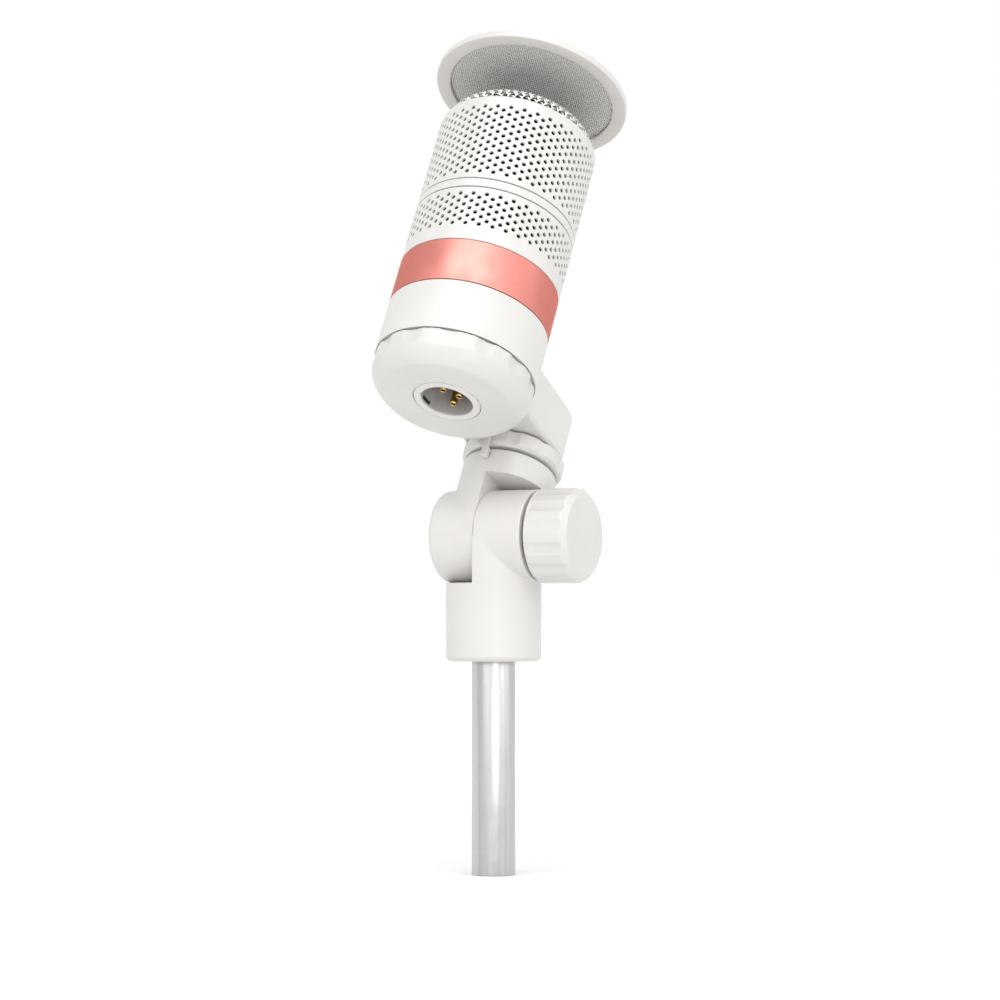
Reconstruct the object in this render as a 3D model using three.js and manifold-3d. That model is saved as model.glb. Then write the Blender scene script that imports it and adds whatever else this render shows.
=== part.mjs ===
// Desktop microphone with a side arm, a two-part tilt hinge and a clip-on pop filter.
//
// Units are millimetres and +Z is up. The origin is the centre of the stand tube's lower end.
// X is the tilt hinge's axis, with the clamp knob on +X. The head leans towards +Y.
// Three nested frames carry the pieces: the hinge frame (origin on the hinge axis), the neck
// frame (the hinge frame leaned back by the tilt, z along the neck) and the microphone frame
// (parallel to the neck frame, on the microphone's own axis).

import * as THREE from 'three';
import { mergeVertices } from 'three/addons/utils/BufferGeometryUtils.js';
import Module from 'manifold-3d';

// ---------------------------------------------------------------- driving dimensions

const GAP = 0.3; // running and seating gap between neighbouring pieces
const HINGE_HEIGHT = 104; // hinge axis above the tube's lower end
const TILT = THREE.MathUtils.degToRad(29.5); // lean of the neck away from upright

const TUBE_RADIUS = 6.7;
const TUBE_WALL = 1.2;
const STUD_THREAD_RADIUS = 4.76; // 3/8 inch stand thread

const SOCKET_RADIUS = 14.7;
const SOCKET_BOTTOM = -38.4; // below the hinge axis
const SOCKET_SHOULDER = -14.3; // top of the cut-away half
const SOCKET_COUNTERBORE_DEPTH = 8;
const INSERT_POCKET_TOP = -18;

const BARREL_RADIUS = 14.25;
const BARREL_LEFT = -15.75;
const BARREL_RIGHT = 15.9;
const LAP = GAP / 2; // half of the gap between the two halves of the hinge
const BOLT_RADIUS = 4;

const KNOB_RADIUS = 14.5;
const KNOB_START = 17.3;
const KNOB_END = 31.2;
const KNOB_CHAMFER = 1.9;
const GRIP_COUNT = 13; // flutes round the knob, and scallops round the end cap
const GRIP_WIDTH = THREE.MathUtils.degToRad(16);

const NECK_RADIUS = 14.8;
const NECK_SHOULDER = 14.8; // along the neck, above the hinge axis
const NECK_TOP = 23;
const SPINDLE_RADIUS = 8;

const RING_RADIUS = 15.8;
const RING_BOTTOM = 24;
const RING_TOP = 29.3;
const RING_BEVEL = 1.1;
const RING_NOTCHES = 10;
const RING_NOTCH_WIDTH = THREE.MathUtils.degToRad(14);

const ARM_HALF_WIDTH = 14.7;
const ARM_BOTTOM = 30;
const ARM_TOP = 47.2;
const ARM_EDGE = 0.9; // chamfer round the arm's upper and lower edges
const ARM_SCREW_X = 7;
const ARM_SCREW_HEIGHT = 38.6;

const MIC_OFFSET = 46.4; // microphone axis in front of the neck axis
const BODY_RADIUS = 25;
const BODY_INNER = 22.6;
const GRILLE_INNER = 23.6;
const CAP_RADIUS = 24.7;
const CAP_FACE_RADIUS = 20.5;
const CAP_FACE = 19.5; // heights from here on are along the microphone's axis
const CAP_FILLET_TOP = 26;
const CAP_FILLET_DEPTH = 11; // half height of the ellipse whose end the flat face cuts off
const SEAM = 29.9;
const BAND_BOTTOM = 47.2;
const BAND_TOP = 62;
const COLLAR_BOTTOM = 81.45;
const COLLAR_TOP = 84.7;
const RIM = 116.3;
const DOME_RADIUS = 23.4;
const DOME_HEIGHT = 10.3;
const DOME_WALL = 1.4;

const XLR_BORE_RADIUS = 8; // standard three-pin connector
const XLR_RING_RADIUS = 10.25;
const XLR_PIN_CIRCLE = 3.75;
const XLR_PIN_RADIUS = 1.2;
const XLR_PIN_TIP = 21;
const XLR_BACK = 41.9;

const POP_RADIUS = 30.75;
const POP_OPENING = 26.35;
const POP_BACK = 134.7;
const POP_FRONT = 136.9;

const ROUND = 40; // sides of a large turned piece
const SMALL = 20; // sides of a small or hidden turned piece
const TINY = 10; // sides of a screw or a pin

// ---------------------------------------------------------------- materials

function finish(color, roughness, metalness) {
  return new THREE.MeshStandardMaterial({ color, roughness, metalness });
}

const WHITE_PAINT = finish(0xf1efea, 0.38, 0.0);
const ROSE_METAL = finish(0xe39a90, 0.3, 0.7);
const SATIN_METAL = finish(0xc9c9c9, 0.25, 1.0);
const STEEL = finish(0x9c9c9a, 0.4, 1.0);
const BRASS = finish(0xc9a24b, 0.3, 1.0);
const GOLD_PLATE = finish(0xd9a441, 0.25, 1.0);
const DARK_PLASTIC = finish(0x4a4946, 0.6, 0.0);
const BLACK_CLOTH = finish(0x141414, 0.95, 0.0);
const BLACK_FOAM = finish(0x1c1c1c, 1.0, 0.0);
const BLACK_RUBBER = finish(0x202020, 0.8, 0.0);
const GREY_RUBBER = finish(0xa8a6a2, 0.7, 0.0);
const BOARD_GREEN = finish(0x1f5a38, 0.5, 0.0);
const MESH_WIRE = finish(0xcfccc4, 0.35, 0.9);
const POP_GAUZE = finish(0xa9a59b, 0.5, 0.6);

// ---------------------------------------------------------------- solid modelling helpers

const wasm = await Module();
wasm.setup();

// A closed three.js geometry as a manifold solid, turned outside out if need be.
function toSolid(geometry) {
  const bare = geometry.clone();
  bare.deleteAttribute('normal');
  bare.deleteAttribute('uv');
  const merged = mergeVertices(bare);
  const corner = merged.index.array;
  const place = merged.attributes.position;
  const triangles = [];
  const [a, b, c] = [new THREE.Vector3(), new THREE.Vector3(), new THREE.Vector3()];
  let volume = 0;
  for (let i = 0; i < corner.length; i += 3) {
    const [ia, ib, ic] = [corner[i], corner[i + 1], corner[i + 2]];
    if (ia === ib || ib === ic || ic === ia) continue;
    triangles.push([ia, ib, ic]);
    a.fromBufferAttribute(place, ia);
    b.fromBufferAttribute(place, ib);
    c.fromBufferAttribute(place, ic);
    volume += a.dot(b.cross(c));
  }
  if (volume < 0) triangles.forEach((triangle) => triangle.reverse());
  return new wasm.Manifold(new wasm.Mesh({
    numProp: 3,
    vertProperties: new Float32Array(place.array),
    triVerts: new Uint32Array(triangles.flat()),
  }));
}

function toGeometry(solid) {
  const mesh = solid.getMesh();
  const geometry = new THREE.BufferGeometry();
  geometry.setAttribute('position', new THREE.BufferAttribute(mesh.vertProperties, 3));
  geometry.setIndex(new THREE.BufferAttribute(mesh.triVerts, 1));
  geometry.computeVertexNormals();
  return geometry;
}

function join(first, ...others) {
  return others.reduce((whole, other) => whole.add(other), first);
}

function cut(first, ...tools) {
  return tools.reduce((rest, tool) => rest.subtract(tool), first);
}

// Turns a geometry whose own axis is Y so that the axis lies along x, y or z.
function aim(geometry, axis) {
  if (axis === 'z') geometry.rotateX(Math.PI / 2);
  if (axis === 'x') geometry.rotateZ(-Math.PI / 2);
  return geometry;
}

// A turned piece from [radius, height] points. A profile that leaves the axis free is closed.
function turned(profile, segments = ROUND, axis = 'z') {
  const points = profile.map(([radius, height]) => new THREE.Vector2(radius, height));
  if (profile[0][0] > 0) points.push(points[0].clone());
  return toSolid(aim(new THREE.LatheGeometry(points, segments), axis));
}

function rod(radius, from, to, segments = SMALL, axis = 'z') {
  return turned([[0, from], [radius, from], [radius, to], [0, to]], segments, axis);
}

function washer(inner, outer, from, to, segments = SMALL, axis = 'z') {
  return turned([[inner, from], [outer, from], [outer, to], [inner, to]], segments, axis);
}

function block(x0, x1, y0, y1, z0, z1) {
  const box = new THREE.BoxGeometry(x1 - x0, y1 - y0, z1 - z0);
  return toSolid(box.translate((x0 + x1) / 2, (y0 + y1) / 2, (z0 + z1) / 2));
}

// A shape in the XY plane pushed along z, with both end faces chamfered by edge.
function pushed(shape, from, to, edge = 0, curveSegments = 8) {
  const options = { depth: to - from - 2 * edge, curveSegments, bevelEnabled: edge > 0 };
  if (edge > 0) {
    options.bevelThickness = edge;
    options.bevelSize = edge;
    options.bevelOffset = -edge;
    options.bevelSegments = 1;
  }
  return new THREE.ExtrudeGeometry(shape, options).translate(0, 0, from + edge);
}

// Points of a quarter ellipse from [outer, base] to [0, base + height], for dome profiles.
function domeProfile(outer, base, height, steps) {
  const points = [];
  for (let i = 0; i <= steps; i += 1) {
    const angle = (i / steps) * (Math.PI / 2);
    points.push([i === steps ? 0 : outer * Math.cos(angle), base + height * Math.sin(angle)]);
  }
  return points;
}

// Round outline with hollow flutes: arcs of the full radius between shallow curved dips.
function flutedOutline(radius, count, width, depth, firstCentre) {
  const shape = new THREE.Shape();
  const pitch = (2 * Math.PI) / count;
  for (let i = 0; i < count; i += 1) {
    const centre = firstCentre + i * pitch;
    const start = centre - width / 2;
    const end = centre + width / 2;
    const dip = radius / Math.cos(width / 2) - 2 * depth;
    if (i === 0) shape.moveTo(radius * Math.cos(start), radius * Math.sin(start));
    shape.quadraticCurveTo(
      dip * Math.cos(centre), dip * Math.sin(centre),
      radius * Math.cos(end), radius * Math.sin(end),
    );
    const nextStart = start + pitch;
    if (i < count - 1) shape.absarc(0, 0, radius, end, nextStart, false);
    else shape.absarc(0, 0, radius, end, firstCentre - width / 2 + 2 * Math.PI, false);
  }
  return shape;
}

// ---------------------------------------------------------------- scene graph

const microphone = new THREE.Group();
const hingeFrame = new THREE.Group();
const neckFrame = new THREE.Group();
const micFrame = new THREE.Group();
hingeFrame.position.z = HINGE_HEIGHT;
neckFrame.rotation.x = -TILT;
micFrame.position.y = -MIC_OFFSET;
microphone.add(hingeFrame);
hingeFrame.add(neckFrame);
neckFrame.add(micFrame);

function place(frame, name, solid, material) {
  const mesh = new THREE.Mesh(toGeometry(solid), material);
  mesh.name = name;
  frame.add(mesh);
}

// ---------------------------------------------------------------- stand

const TUBE_TOP = SOCKET_BOTTOM + SOCKET_COUNTERBORE_DEPTH - GAP;
const STUD_PLUG_LENGTH = 18;

function standTube() {
  return washer(TUBE_RADIUS - TUBE_WALL, TUBE_RADIUS, -HINGE_HEIGHT, TUBE_TOP, ROUND);
}

// A plug pressed into the tube, and the threaded stud that stands out of it.
function standStud() {
  const plug = TUBE_RADIUS - TUBE_WALL - GAP;
  const top = INSERT_POCKET_TOP - 1;
  return turned([
    [0, TUBE_TOP - STUD_PLUG_LENGTH],
    [plug, TUBE_TOP - STUD_PLUG_LENGTH],
    [plug, TUBE_TOP],
    [STUD_THREAD_RADIUS, TUBE_TOP],
    [STUD_THREAD_RADIUS, top - 1],
    [STUD_THREAD_RADIUS - 1, top],
    [0, top],
  ], SMALL);
}

place(hingeFrame, 'stand_tube', standTube(), SATIN_METAL);
place(hingeFrame, 'stand_stud', standStud(), STEEL);

// ---------------------------------------------------------------- socket (lower hinge half)

const INSERT_POCKET_RADIUS = 7.8;
const LAP_RECESS_RADIUS = 11.3;
const LAP_RECESS_DEPTH = 0.65;
const WASHER_RECESS_RADIUS = 12;
const WASHER_RECESS_FLOOR = 14.7;

function socket() {
  const foot = turned([
    [0, SOCKET_BOTTOM],
    [SOCKET_RADIUS - 1.1, SOCKET_BOTTOM],
    [SOCKET_RADIUS, SOCKET_BOTTOM + 1.1],
    [SOCKET_RADIUS, SOCKET_SHOULDER],
    [0, SOCKET_SHOULDER],
  ]);
  const column = cut(
    rod(SOCKET_RADIUS, SOCKET_SHOULDER - 1, 0, ROUND),
    block(-20, LAP, -20, 20, SOCKET_SHOULDER, 1),
  );
  const barrel = turned([
    [0, LAP],
    [BARREL_RADIUS, LAP],
    [BARREL_RADIUS, BARREL_RIGHT - 0.4],
    [BARREL_RADIUS - 0.4, BARREL_RIGHT],
    [0, BARREL_RIGHT],
  ], ROUND, 'x');
  const counterbore = SOCKET_BOTTOM + SOCKET_COUNTERBORE_DEPTH;
  return cut(
    join(foot, column, barrel),
    rod(TUBE_RADIUS + GAP, SOCKET_BOTTOM - 1, counterbore),
    rod(INSERT_POCKET_RADIUS, counterbore - 1, INSERT_POCKET_TOP),
    rod(BOLT_RADIUS + GAP, -1, BARREL_RIGHT + 1, SMALL, 'x'),
    rod(LAP_RECESS_RADIUS, -1, LAP + LAP_RECESS_DEPTH, ROUND, 'x'),
    rod(WASHER_RECESS_RADIUS, WASHER_RECESS_FLOOR, BARREL_RIGHT + 1, ROUND, 'x'),
  );
}

function threadInsert() {
  const bottom = SOCKET_BOTTOM + SOCKET_COUNTERBORE_DEPTH + GAP;
  const outer = INSERT_POCKET_RADIUS - GAP;
  return washer(STUD_THREAD_RADIUS + GAP, outer, bottom, INSERT_POCKET_TOP - GAP);
}

place(hingeFrame, 'socket', socket(), WHITE_PAINT);
place(hingeFrame, 'thread_insert', threadInsert(), BRASS);

// ---------------------------------------------------------------- tilt bolt, washers and knob

const BOLT_HEAD_FLATS = 12.6; // across flats
const BOLT_HEAD_LEFT = -13.9;
const BOLT_HEAD_RIGHT = -9.8;
const BOLT_END = 27.3;
const KNOB_INSERT_RADIUS = 5.7;
const KNOB_BORE_END = 27.9;
const KNOB_FLUTE_DEPTH = 0.45;
const KNOB_RIM = 0.6; // smooth edge left behind the flutes
const KNOB_FIRST_FLUTE = THREE.MathUtils.degToRad(-17.3);

// A hexagonal bar along x, given across its flats.
function hexBar(flats, from, to) {
  return rod(flats / Math.sqrt(3), from, to, 6, 'x');
}

function tiltBolt() {
  return join(
    hexBar(BOLT_HEAD_FLATS, BOLT_HEAD_LEFT, BOLT_HEAD_RIGHT),
    rod(BOLT_RADIUS, BOLT_HEAD_RIGHT - 1, BOLT_END, SMALL, 'x'),
  );
}

function tiltKnob() {
  const outline = flutedOutline(
    KNOB_RADIUS, GRIP_COUNT, GRIP_WIDTH, KNOB_FLUTE_DEPTH, KNOB_FIRST_FLUTE + Math.PI / 2,
  );
  const fluted = pushed(outline, KNOB_START, KNOB_END, 0, 3);
  fluted.rotateZ(-Math.PI / 2).rotateX(Math.PI / 2).rotateZ(Math.PI / 2);
  const envelope = turned([
    [0, KNOB_START - 1],
    [KNOB_RADIUS + 1, KNOB_START - 1],
    [KNOB_RADIUS + 1, KNOB_END - KNOB_CHAMFER - 1],
    [KNOB_RADIUS - KNOB_CHAMFER, KNOB_END],
    [0, KNOB_END],
  ], ROUND, 'x');
  const backRim = rod(KNOB_RADIUS, KNOB_START, KNOB_START + KNOB_RIM, ROUND, 'x');
  return cut(
    join(toSolid(fluted).intersect(envelope), backRim),
    rod(KNOB_INSERT_RADIUS + GAP, KNOB_START - 1, KNOB_BORE_END, SMALL, 'x'),
  );
}

function knobInsert() {
  return washer(
    BOLT_RADIUS + GAP, KNOB_INSERT_RADIUS, KNOB_START + GAP, KNOB_BORE_END - GAP, SMALL, 'x',
  );
}

place(neckFrame, 'tilt_bolt', tiltBolt(), STEEL);
place(neckFrame, 'friction_washer', washer(4.6, 11, -0.5, 0.5, SMALL, 'x'), DARK_PLASTIC);
place(
  hingeFrame, 'knob_washer',
  washer(4.5, WASHER_RECESS_RADIUS - 0.4, WASHER_RECESS_FLOOR + GAP, KNOB_START - GAP, SMALL, 'x'),
  GREY_RUBBER,
);
place(hingeFrame, 'tilt_knob', tiltKnob(), WHITE_PAINT);
place(hingeFrame, 'knob_insert', knobInsert(), BRASS);

// ---------------------------------------------------------------- neck (upper hinge half)

const HINGE_CAP_RADIUS = 8.6;
const HINGE_CAP_INNER_FACE = -14.5;
const LOCK_WASHER_RADIUS = 12.6;
const LOCK_WASHER_SEAT = 22.2;
const SPINDLE_BOTTOM = 16.9;
const GRUB_HEIGHT = 19.4;
const GRUB_RADIUS = 1.5;
const GROOVE_RADIUS = 6.6;
const TAB_PEG_HEIGHT = 20.6;
const TAB_PEG_RADIUS = 0.8;
const TAB_PEG_DEPTH = 12.6;
const TAB_X = -0.9;

function neck() {
  const head = turned([
    [0, NECK_SHOULDER],
    [NECK_RADIUS, NECK_SHOULDER],
    [NECK_RADIUS, NECK_TOP - 0.5],
    [NECK_RADIUS - 0.5, NECK_TOP],
    [0, NECK_TOP],
  ]);
  const halfColumn = cut(
    rod(NECK_RADIUS, 0, NECK_SHOULDER + 1, ROUND),
    block(-LAP, 20, -20, 20, -1, NECK_SHOULDER),
    block(-20, 20, BARREL_RADIUS, 20, -1, NECK_SHOULDER), // flush with the barrel
    block(-20, 20, -20, -BARREL_RADIUS, -1, NECK_SHOULDER),
  );
  const barrel = turned([
    [0, BARREL_LEFT],
    [BARREL_RADIUS - 1.6, BARREL_LEFT],
    [BARREL_RADIUS - 0.5, BARREL_LEFT + 0.5],
    [BARREL_RADIUS, BARREL_LEFT + 1.6],
    [BARREL_RADIUS, -LAP],
    [0, -LAP],
  ], ROUND, 'x');
  return cut(
    join(head, halfColumn, barrel),
    rod(SPINDLE_RADIUS + GAP, SPINDLE_BOTTOM - GAP, NECK_TOP + 1),
    rod(LOCK_WASHER_RADIUS + GAP, LOCK_WASHER_SEAT, NECK_TOP + 1),
    rod(LAP_RECESS_RADIUS, -LAP - LAP_RECESS_DEPTH, 1, ROUND, 'x'),
    rod(BOLT_RADIUS + GAP, BARREL_LEFT - 1, 1, SMALL, 'x'),
    hexBar(BOLT_HEAD_FLATS + 0.7, BARREL_LEFT - 1, BOLT_HEAD_RIGHT + GAP),
    rod(HINGE_CAP_RADIUS + GAP, BARREL_LEFT - 1, HINGE_CAP_INNER_FACE + GAP, SMALL, 'x'),
    grubHole(),
    rod(TAB_PEG_RADIUS + GAP, -NECK_RADIUS - 1, -TAB_PEG_DEPTH + GAP, TINY, 'y')
      .translate([TAB_X, 0, TAB_PEG_HEIGHT]),
  );
}

function grubHole() {
  return rod(GRUB_RADIUS + GAP, SPINDLE_RADIUS - 1, NECK_RADIUS + 1, TINY, 'y')
    .translate([0, 0, GRUB_HEIGHT]);
}

function grubScrew() {
  return rod(GRUB_RADIUS, GROOVE_RADIUS + GAP, NECK_RADIUS - 0.5, TINY, 'y')
    .translate([0, 0, GRUB_HEIGHT]);
}

// A narrow tongue that stands on the neck and crosses in front of the lock ring.
function indexTab() {
  const back = -NECK_RADIUS - GAP;
  const front = -RING_RADIUS - 1.6;
  return join(
    block(TAB_X - 0.95, TAB_X + 0.95, -RING_RADIUS - 1, back, 19, 22.6),
    block(TAB_X - 0.95, TAB_X + 0.95, front, -RING_RADIUS - GAP, 19, ARM_BOTTOM - 0.4),
    rod(TAB_PEG_RADIUS, back - 0.4, -TAB_PEG_DEPTH, TINY, 'y')
      .translate([TAB_X, 0, TAB_PEG_HEIGHT]),
  );
}

place(neckFrame, 'neck', neck(), WHITE_PAINT);
place(
  neckFrame, 'hinge_cap',
  rod(HINGE_CAP_RADIUS, BARREL_LEFT + 0.15, HINGE_CAP_INNER_FACE, SMALL, 'x'), WHITE_PAINT,
);
place(
  neckFrame, 'lock_washer',
  washer(SPINDLE_RADIUS + 0.4, LOCK_WASHER_RADIUS, LOCK_WASHER_SEAT + GAP, RING_BOTTOM - GAP),
  STEEL,
);
place(neckFrame, 'swivel_grub_screw', grubScrew(), STEEL);
place(neckFrame, 'index_tab', indexTab(), WHITE_PAINT);

// ---------------------------------------------------------------- lock ring and arm

const SPINDLE_TOP = 42.2;
const RING_FIRST_NOTCH = THREE.MathUtils.degToRad(-65.5);

function lockRing() {
  const outline = flutedOutline(RING_RADIUS, RING_NOTCHES, RING_NOTCH_WIDTH, 0.6, RING_FIRST_NOTCH);
  const envelope = turned([
    [0, RING_BOTTOM],
    [RING_RADIUS - RING_BEVEL, RING_BOTTOM],
    [RING_RADIUS + 1, RING_BOTTOM + RING_BEVEL + 1],
    [RING_RADIUS + 1, RING_TOP],
    [0, RING_TOP],
  ]);
  return cut(
    toSolid(pushed(outline, RING_BOTTOM - 1, RING_TOP + 1, 0, 3)).intersect(envelope),
    rod(SPINDLE_RADIUS + GAP, RING_BOTTOM - 2, RING_TOP + 2),
  );
}

function swivelSpindle() {
  const half = GRUB_RADIUS + GAP;
  return turned([
    [0, SPINDLE_BOTTOM],
    [SPINDLE_RADIUS, SPINDLE_BOTTOM],
    [SPINDLE_RADIUS, GRUB_HEIGHT - half],
    [GROOVE_RADIUS, GRUB_HEIGHT - half],
    [GROOVE_RADIUS, GRUB_HEIGHT + half],
    [SPINDLE_RADIUS, GRUB_HEIGHT + half],
    [SPINDLE_RADIUS, SPINDLE_TOP],
    [0, SPINDLE_TOP],
  ], SMALL);
}

// Bracket with a half-round back on the neck's axis and a hollow front that fits the housing.
function arm() {
  const outline = new THREE.Shape();
  outline.moveTo(ARM_HALF_WIDTH, -MIC_OFFSET + 16);
  outline.lineTo(ARM_HALF_WIDTH, 0);
  outline.absarc(0, 0, ARM_HALF_WIDTH, 0, Math.PI, false);
  outline.lineTo(-ARM_HALF_WIDTH, -MIC_OFFSET + 16);
  const slab = toSolid(pushed(outline, ARM_BOTTOM, ARM_TOP, ARM_EDGE, 12));
  const seat = rod(BODY_RADIUS + GAP, ARM_BOTTOM - 1, ARM_TOP + 1, ROUND);
  return cut(
    slab,
    seat.translate([0, -MIC_OFFSET, 0]),
    rod(SPINDLE_RADIUS + GAP, ARM_BOTTOM - 1, SPINDLE_TOP + GAP),
    ...armScrewPlaces().map((x) => armScrewHole().translate([x, -MIC_OFFSET, 0])),
  );
}

const ARM_SCREW_RADIUS = 2;
const ARM_SCREW_END = 35;
const ARM_SCREW_SEAT = 19.9; // underside of the head, from the microphone's axis

function armScrewPlaces() {
  return [-ARM_SCREW_X, ARM_SCREW_X];
}

function armScrewHole() {
  return rod(ARM_SCREW_RADIUS + GAP, ARM_SCREW_SEAT - 1, ARM_SCREW_END + GAP, TINY, 'y')
    .translate([0, 0, ARM_SCREW_HEIGHT]);
}

function armScrew() {
  return join(
    rod(3, ARM_SCREW_SEAT - 1.8, ARM_SCREW_SEAT, TINY, 'y'),
    rod(ARM_SCREW_RADIUS, ARM_SCREW_SEAT - 1, ARM_SCREW_END, TINY, 'y'),
  ).translate([0, 0, ARM_SCREW_HEIGHT]);
}

place(neckFrame, 'lock_ring', lockRing(), WHITE_PAINT);
place(neckFrame, 'swivel_spindle', swivelSpindle(), STEEL);
place(neckFrame, 'arm', arm(), WHITE_PAINT);
armScrewPlaces().forEach((x, i) => {
  place(micFrame, `arm_screw_${i + 1}`, armScrew().translate([x, 0, 0]), STEEL);
});

// ---------------------------------------------------------------- microphone shells

const JOINT_LINE = 0.15; // half of the dark line between two shells

function shell(inner, from, to) {
  return washer(inner, BODY_RADIUS, from + JOINT_LINE, to - JOINT_LINE, ROUND);
}

// Circle that cuts a hollow of the given width and depth into a round body.
function scallopRadius(body, width, depth) {
  const near = body - depth;
  const chord = body * Math.cos(width / 2);
  return (2 * near * chord - near * near - body * body) / (2 * near - 2 * chord);
}

const CAP_FIRST_SCALLOP = THREE.MathUtils.degToRad(-69);
const SCALLOP_DEPTH = 0.6;
const SCALLOP_ROUND_START = 28.2; // the straight part of a scallop ends here, in a round end

function endCap() {
  const spigotTop = 34;
  const floor = CAP_FACE + 2.5;
  const fillet = [];
  const steps = 5;
  const first = Math.acos((CAP_FILLET_TOP - CAP_FACE) / CAP_FILLET_DEPTH);
  const reachOut = (CAP_RADIUS - CAP_FACE_RADIUS) / (1 - Math.sin(first));
  for (let i = 0; i <= steps; i += 1) {
    const angle = first + (i / steps) * (Math.PI / 2 - first);
    fillet.push([
      CAP_RADIUS - reachOut * (1 - Math.sin(angle)),
      CAP_FILLET_TOP - CAP_FILLET_DEPTH * Math.cos(angle),
    ]);
  }
  const body = turned([
    [XLR_RING_RADIUS + GAP, CAP_FACE],
    ...fillet,
    [CAP_RADIUS, SEAM - JOINT_LINE],
    [22.2, SEAM - JOINT_LINE],
    [22.2, spigotTop],
    [20.4, spigotTop],
    [20.4, floor],
    [XLR_RING_RADIUS + GAP, floor],
  ]);
  const radius = scallopRadius(CAP_RADIUS, GRIP_WIDTH, SCALLOP_DEPTH);
  const reach = CAP_RADIUS - SCALLOP_DEPTH + radius;
  const scallops = [];
  for (let i = 0; i < GRIP_COUNT; i += 1) {
    const angle = CAP_FIRST_SCALLOP + (i * 2 * Math.PI) / GRIP_COUNT;
    scallops.push(scallopTool(radius).translate([
      reach * Math.cos(angle), reach * Math.sin(angle), 0,
    ]));
  }
  return cut(body, ...scallops);
}

function scallopTool(radius) {
  const profile = [[0, SCALLOP_ROUND_START - radius]];
  const steps = 5;
  for (let i = 1; i <= steps; i += 1) {
    const angle = (i / steps) * (Math.PI / 2);
    profile.push([
      radius * Math.sin(angle), SCALLOP_ROUND_START - radius * Math.cos(angle),
    ]);
  }
  profile.push([radius, SEAM + 1], [0, SEAM + 1]);
  return turned(profile, ROUND);
}

function lowerHousing() {
  const holes = armScrewPlaces().map((x) => armScrewHole().translate([x, 0, 0]));
  return cut(shell(BODY_INNER, SEAM + 0.05, BAND_BOTTOM), ...holes);
}

function upperGrille() {
  return turned([
    [GRILLE_INNER, COLLAR_TOP + JOINT_LINE],
    [BODY_RADIUS, COLLAR_TOP + JOINT_LINE],
    [BODY_RADIUS, RIM - 0.8],
    [BODY_RADIUS - 0.25, RIM - 0.2],
    [BODY_RADIUS - 0.7, RIM],
    [GRILLE_INNER + 0.1, RIM],
    [GRILLE_INNER, RIM - 0.1],
  ]);
}

// Domed wire head: a thin shell with a straight skirt inside the grille's rim.
function headMesh() {
  const steps = 4;
  const outer = domeProfile(DOME_RADIUS - 0.1, RIM, DOME_HEIGHT, steps);
  const inner = domeProfile(DOME_RADIUS - DOME_WALL, RIM, DOME_HEIGHT - DOME_WALL, steps);
  const skirt = RIM - 3.4;
  return turned([
    ...inner.reverse(),
    [DOME_RADIUS - DOME_WALL, skirt],
    [DOME_RADIUS - 0.1, skirt],
    ...outer,
  ], ROUND);
}

function headFoam() {
  const outer = domeProfile(20.4, RIM, DOME_HEIGHT - DOME_WALL - 0.8, 3);
  const inner = domeProfile(16.4, RIM, DOME_HEIGHT - DOME_WALL - 4.8, 3);
  return turned([...inner.reverse(), [16.4, RIM - 3], [20.4, RIM - 3], ...outer], SMALL);
}

place(micFrame, 'end_cap', endCap(), WHITE_PAINT);
place(micFrame, 'lower_housing', lowerHousing(), WHITE_PAINT);
place(micFrame, 'colour_band', shell(BODY_INNER, BAND_BOTTOM, BAND_TOP), ROSE_METAL);
place(micFrame, 'grille_lower', shell(GRILLE_INNER, BAND_TOP, COLLAR_BOTTOM), WHITE_PAINT);
place(micFrame, 'grille_collar', shell(GRILLE_INNER, COLLAR_BOTTOM, COLLAR_TOP), WHITE_PAINT);
place(micFrame, 'grille_upper', upperGrille(), WHITE_PAINT);
place(micFrame, 'grille_liner', washer(22.7, 23.2, BAND_TOP + 0.4, 112.4, ROUND), BLACK_CLOTH);
place(micFrame, 'head_mesh', headMesh(), MESH_WIRE);
place(micFrame, 'head_ring', washer(20.8, 21.6, RIM - 3.2, RIM - 0.6), DARK_PLASTIC);
place(micFrame, 'head_foam', headFoam(), BLACK_FOAM);

// ---------------------------------------------------------------- parts inside the body

const CARRIER_INNER = 20.8;
const CARRIER_OUTER = 22.3;
const CAPSULE_RADIUS = 16;
const CAPSULE_BACK = 88;
const CAPSULE_FRONT = 108;

function capsuleBody() {
  return turned([
    [0, CAPSULE_BACK],
    [CAPSULE_RADIUS, CAPSULE_BACK],
    [CAPSULE_RADIUS, CAPSULE_FRONT],
    [CAPSULE_RADIUS - 1.8, CAPSULE_FRONT],
    [CAPSULE_RADIUS - 1.8, CAPSULE_BACK + 3],
    [0, CAPSULE_BACK + 3],
  ], SMALL);
}

function diaphragm() {
  const base = CAPSULE_FRONT - 3.5;
  return turned([
    [0, base + 1.6],
    [7, base + 0.5],
    [13.8, base + 0.5],
    [13.8, base],
    [6.8, base],
    [0, base + 1.1],
  ], SMALL);
}

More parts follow.
